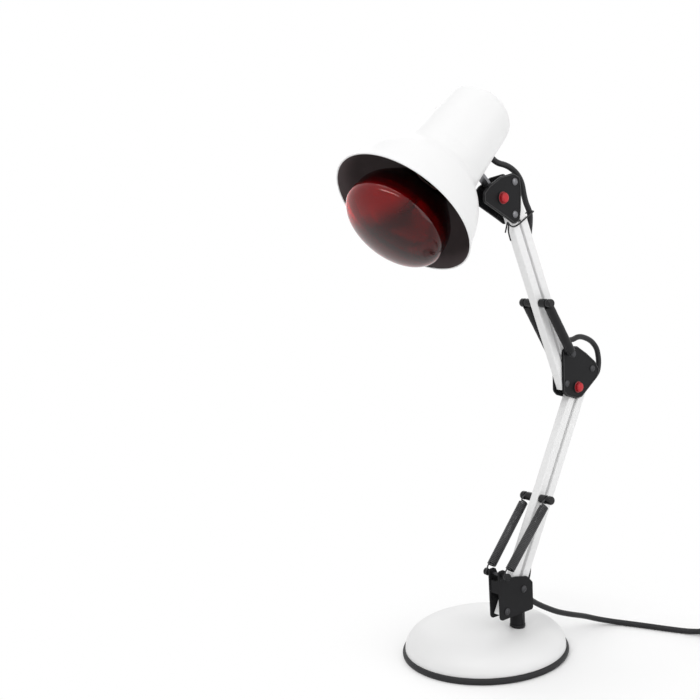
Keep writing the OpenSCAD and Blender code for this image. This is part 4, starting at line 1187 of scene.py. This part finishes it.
@dataclass(frozen=True)
class Springs:
    """Balance springs: two open ones below and two in sleeves above."""

    coil_d: float = 9.8
    wire_d: float = 1.6
    curls: int = 44
    per_curl: int = 20
    leg: float = 8.0
    pin_d: float = 4.0
    play: float = 0.3
    sleeve_d: float = 10.2
    sleeve_wall: float = 0.8
    sleeve_from: float = 3.4
    end_curls: int = 5
    end_step: float = 1.7

    @property
    def hook_r(self) -> float:
        """Radius of a hook's centre line."""
        return self.pin_d / 2 + self.wire_d / 2 + self.play

    def stood(self, a: Vector, b: Vector) -> Callable[[float, float, float], Vector]:
        """Function that stands a point of a spring's own frame between two pins."""
        d = b - a
        turn = (Matrix.Rotation(atan2(d.y, d.x), 3, "Z")
                @ Matrix.Rotation(-atan2(d.z, hypot(d.x, d.y)), 3, "Y"))
        return lambda x, y, z: a + turn @ Vector((x, y, z))

    def hook(self, x: float, start: float, turn: float, steps: int = 12) -> list[Triple]:
        """Hook round a pin at x."""
        bend = [polar(self.hook_r, start + turn * i / steps) for i in range(steps)]
        return [(x + along, 0.0, up) for along, up in bend]

    def coil(self, start: float, length: float, r: float, curls: int) -> list[Triple]:
        """Helix along X."""
        n = self.per_curl * curls
        return [(start + length * i / n, r * sin(2 * pi * i / self.per_curl),
                 r * cos(2 * pi * i / self.per_curl)) for i in range(n + 1)]

    def open_line(self, length: float) -> list[Triple]:
        """Line of an open spring, from hook to hook."""
        r, leg = (self.coil_d - self.wire_d) / 2, self.leg
        return [*self.hook(0, -60, -210), (1, 0, self.hook_r), (leg - 3.5, 0, r + 0.2),
                *self.coil(leg, length - 2 * leg, r, self.curls),
                (length - leg + 3.5, 0, r + 0.2), (length - 1, 0, self.hook_r),
                *self.hook(length, 240, 210)[::-1]]

    def lower(self, side: Side) -> None:
        """Makes one lower spring, between the bracket and the front tube."""
        a = AT.anchor + Vector((0, side.value * LAMP.anchor_y, 0))
        b = AT.lower_pin + Vector((0, side.value * LAMP.spring_y, 0))
        at, word = self.stood(a, b), side.name.lower()
        line = placed_all(at(*p) for p in self.open_line((b - a).length))
        # Each lower spring's wire is painted lighter around its middle, a painted highlight.
        steel = SpringSteel("spring_" + word, placed((a + b) / 2), 0.05)
        wire = Tube.along("LowerSpring" + word.title(), [line], self.wire_d / 2, steel, 10)
        bending(wire, ("bracket", "lower_front"), a.lerp(b, -0.18), a.lerp(b, 1.05),
                "spring_steel", "lower_spring_" + word)

    def sleeve(self, start: Vector, along: Vector, length: float) -> Obj:
        """Slightly dented sleeve from a point."""
        r, w = self.sleeve_d / 2, self.sleeve_wall
        line = [(r - w, 0), (r - 0.3, 0), (r, 0.3)]
        line += [(r - 0.12 * (0.5 + 0.5 * sin(k * 1.9)), 0.3 + (length - 0.6) * k / 18)
                 for k in range(1, 18)]
        line += [(r, length - 0.3), (r - 0.3, length), (r - w, length)]
        return lathe("sleeve", line, Axis(placed(start), along), 48)

    def upper(self) -> None:
        """Makes the upper springs' visible ends and the sleeves over them."""
        lines, bm = [], bmesh.new()
        hidden_r = (self.sleeve_d - 2 * self.sleeve_wall - 0.4 - self.wire_d) / 2
        coil = self.coil(6, self.end_step * self.end_curls, hidden_r, self.end_curls)
        end = [*self.hook(0, -60, -210), (1, 0, self.hook_r), *coil]
        feet, pins = AT.upper_rear, AT.upper_pin
        for side in Side:
            a, b = (p + Vector((0, side.value * LAMP.spring_y, 0)) for p in (feet, pins))
            at, length = self.stood(a, b), (b - a).length
            lines += [placed_all(at(x, y, z) for x, y, z in end),
                      placed_all(at(length - x, y, z) for x, y, z in end)]
            along = (b - a).normalized()
            part = self.sleeve(a + self.sleeve_from * along, along, length - 2 * self.sleeve_from)
            bm.from_mesh(part.data)
            bpy.data.objects.remove(part)
        # The upper springs' wire is painted lighter near the upper pins, a painted highlight.
        steel = SpringSteel("spring_upper", placed(pins), 0.02)
        wires = Tube.along("UpperSprings", lines, self.wire_d / 2, steel, 10)
        bending(wires, ("elbow", "upper_front"), feet.lerp(pins, 0.02), feet.lerp(pins, 0.14),
                "spring_steel", "upper_springs")
        mesh = bpy.data.meshes.new("SpringSleeves")
        bm.to_mesh(mesh)
        bm.free()
        smoothed(mesh)
        sleeves = dress(sharpened(linked("SpringSleeves", mesh), 50), SLEEVE)
        seated(sleeves, "upper_front", "sleeve_pvc", "spring_sleeves")

    def build(self) -> None:
        """Makes all four springs."""
        for side in Side:
            self.lower(side)
        self.upper()


@dataclass(frozen=True)
class Head:
    """Shade, strap, lamp holder and reflector bulb."""

    shade_d: float = 142.0
    bell_l: float = 64.0
    neck_r: float = 38.5
    neck_end_r: float = 34.0
    shade_l: float = 149.0
    crown_r: float = 15.0
    roll_r: float = 0.75
    wall: float = 0.9
    bulb_d: float = 99.0
    bulb_out: float = 14.0
    bulb_dome: float = 22.0
    bulb_neck_r: float = 17.0
    glass: float = 1.2
    cap_from: float = 79.0

    @property
    def axis(self) -> Axis:
        """The shade's axis from the rim's centre."""
        return Axis(placed(AT.rim), AT.shade_dir)

    def shade_line(self) -> list[Point2]:
        """Outer outline of the shade, from the rim to the closed end."""
        r, c = self.shade_d / 2, self.crown_r
        bell = spline([(r, 0), (r - 4.2, 11), (r - 9, 28), (r - 17, 43),
                       (self.neck_r + 2, self.bell_l - 4),
                       (self.neck_r - 0.8, self.bell_l + 12)], 9)
        line = [(p.x, p.y) for p in bell]
        line += [(self.neck_r - 1.6, self.bell_l + 26), (self.neck_end_r, self.shade_l - c - 1)]
        crown = [polar(c, 7.5 * i) for i in range(1, 13)]
        line += [(self.neck_end_r - c + out, self.shade_l - c + up) for out, up in crown]
        return line + [(0.0, self.shade_l)]

    def shade(self) -> None:
        """Makes the shade, white outside and dark inside, with a rolled rim."""
        outer, top = self.shade_line(), self.shade_l
        inner = [(max(r - self.wall, 0.0), s if s < top - 1 else s - self.wall) for r, s in outer]
        inner = [(r, min(s, top - self.wall)) for r, s in inner]
        roll = [polar(self.roll_r, a) for a in range(-170, 11, 20)]
        lip = [(self.shade_d / 2 - 0.8 + out, 0.15 + up) for out, up in roll]
        slots = [0] * (len(outer) - 1) + [1] * (len(inner) - 1) + [0] * len(lip)
        shell = lathe("Shade", [*outer[1:], *inner[::-1][:-1], *lip], self.axis, 192, slots)
        dress(sharpened(shell, 40), ENAMEL, SHADE_DARK)
        seated(shell, "head", "shade_enamel", "shade")

    def glass_line(self) -> list[Point2]:
        """Outer outline of the glass, from the middle of the dome to the cap."""
        r, out, neck = self.bulb_d / 2, self.bulb_out, self.bulb_neck_r
        dome = [(r * sin(radians(a)), -out - self.bulb_dome * cos(radians(a)))
                for a in np.linspace(0, 90, 36)]
        back = spline([(r, -out), (r - 1.4, -out + 15), (r - 7, 13), (neck + 10, 32), (neck, 48),
                       (neck - 1, self.cap_from)], 9)
        return dome + [(p.x, p.y) for p in back[1:]]

    def shrunk(self, line: Sequence[Point2], by: float) -> list[Point2]:
        """Outline moved inwards by a wall."""
        out = []
        for i, (r, s) in enumerate(line):
            a, b = line[max(i - 1, 0)], line[min(i + 1, len(line) - 1)]
            t = Vector((b[0] - a[0], b[1] - a[1])).normalized()
            out.append((0.0, s + by) if i == 0 else (max(r - by * t.y, 0.0), s + by * t.x))
        return out

    def bulb(self) -> None:
        """Makes the glass and the silvering on its inner back."""
        outer = self.glass_line()
        inner = self.shrunk(outer, self.glass)
        glass = lathe("BulbGlass", outer + inner[::-1], self.axis, 224)
        # The glass is painted darker down its sides and away from the lit half, which faces up and to
        # one side: painted shade.
        dress(glass, RubyGlass("ruby_glass", placed(AT.rim), AT.shade_dir,
                               Vector((-0.67, 0.15, 0.73))))
        seated(glass, "head", "ruby_glass", "bulb_glass")
        back = [(r - 0.3, s) for r, s in inner if -self.bulb_out + 6 < s < 40]
        silver = lathe("BulbSilvering", back + [(r - 0.4, s) for r, s in back[::-1]], self.axis)
        dress(silver, SILVERING)
        seated(silver, "head", "reflector", "bulb_reflector")

    def build(self) -> None:
        """Makes the shade and the bulb, and dresses the rest of the head."""
        self.shade()
        self.bulb()
        dressed_nodes({"shade_strap": DARK_ZINC, "strap_screws": ZINC, "lamp_holder": GLAZE,
                       "holder_contacts": BRASS, "bulb_cap": CAP_METAL, "bulb_filament": STEM})


class Arm:
    """The four square tubes."""

    def build(self) -> None:
        """Dresses the tubes."""
        dressed_nodes({f"{arm}_{place}_tube": ENAMEL for arm in ("lower", "upper")
                       for place in ("rear", "front")})


def main() -> None:
    """Builds the camera and the cords first, then each sub-assembly."""
    logging.basicConfig(level=logging.INFO, format="%(message)s")
    studio = Studio()
    studio.camera()
    for assembly in (MainsLead(), ArmLead(), Base(), Arm(), Plates(), Springs(), Head()):
        assembly.build()
    studio.floor()
    studio.room()
    bpy.context.scene.view_settings.view_transform = "Standard"


if __name__ == "__main__":
    main()
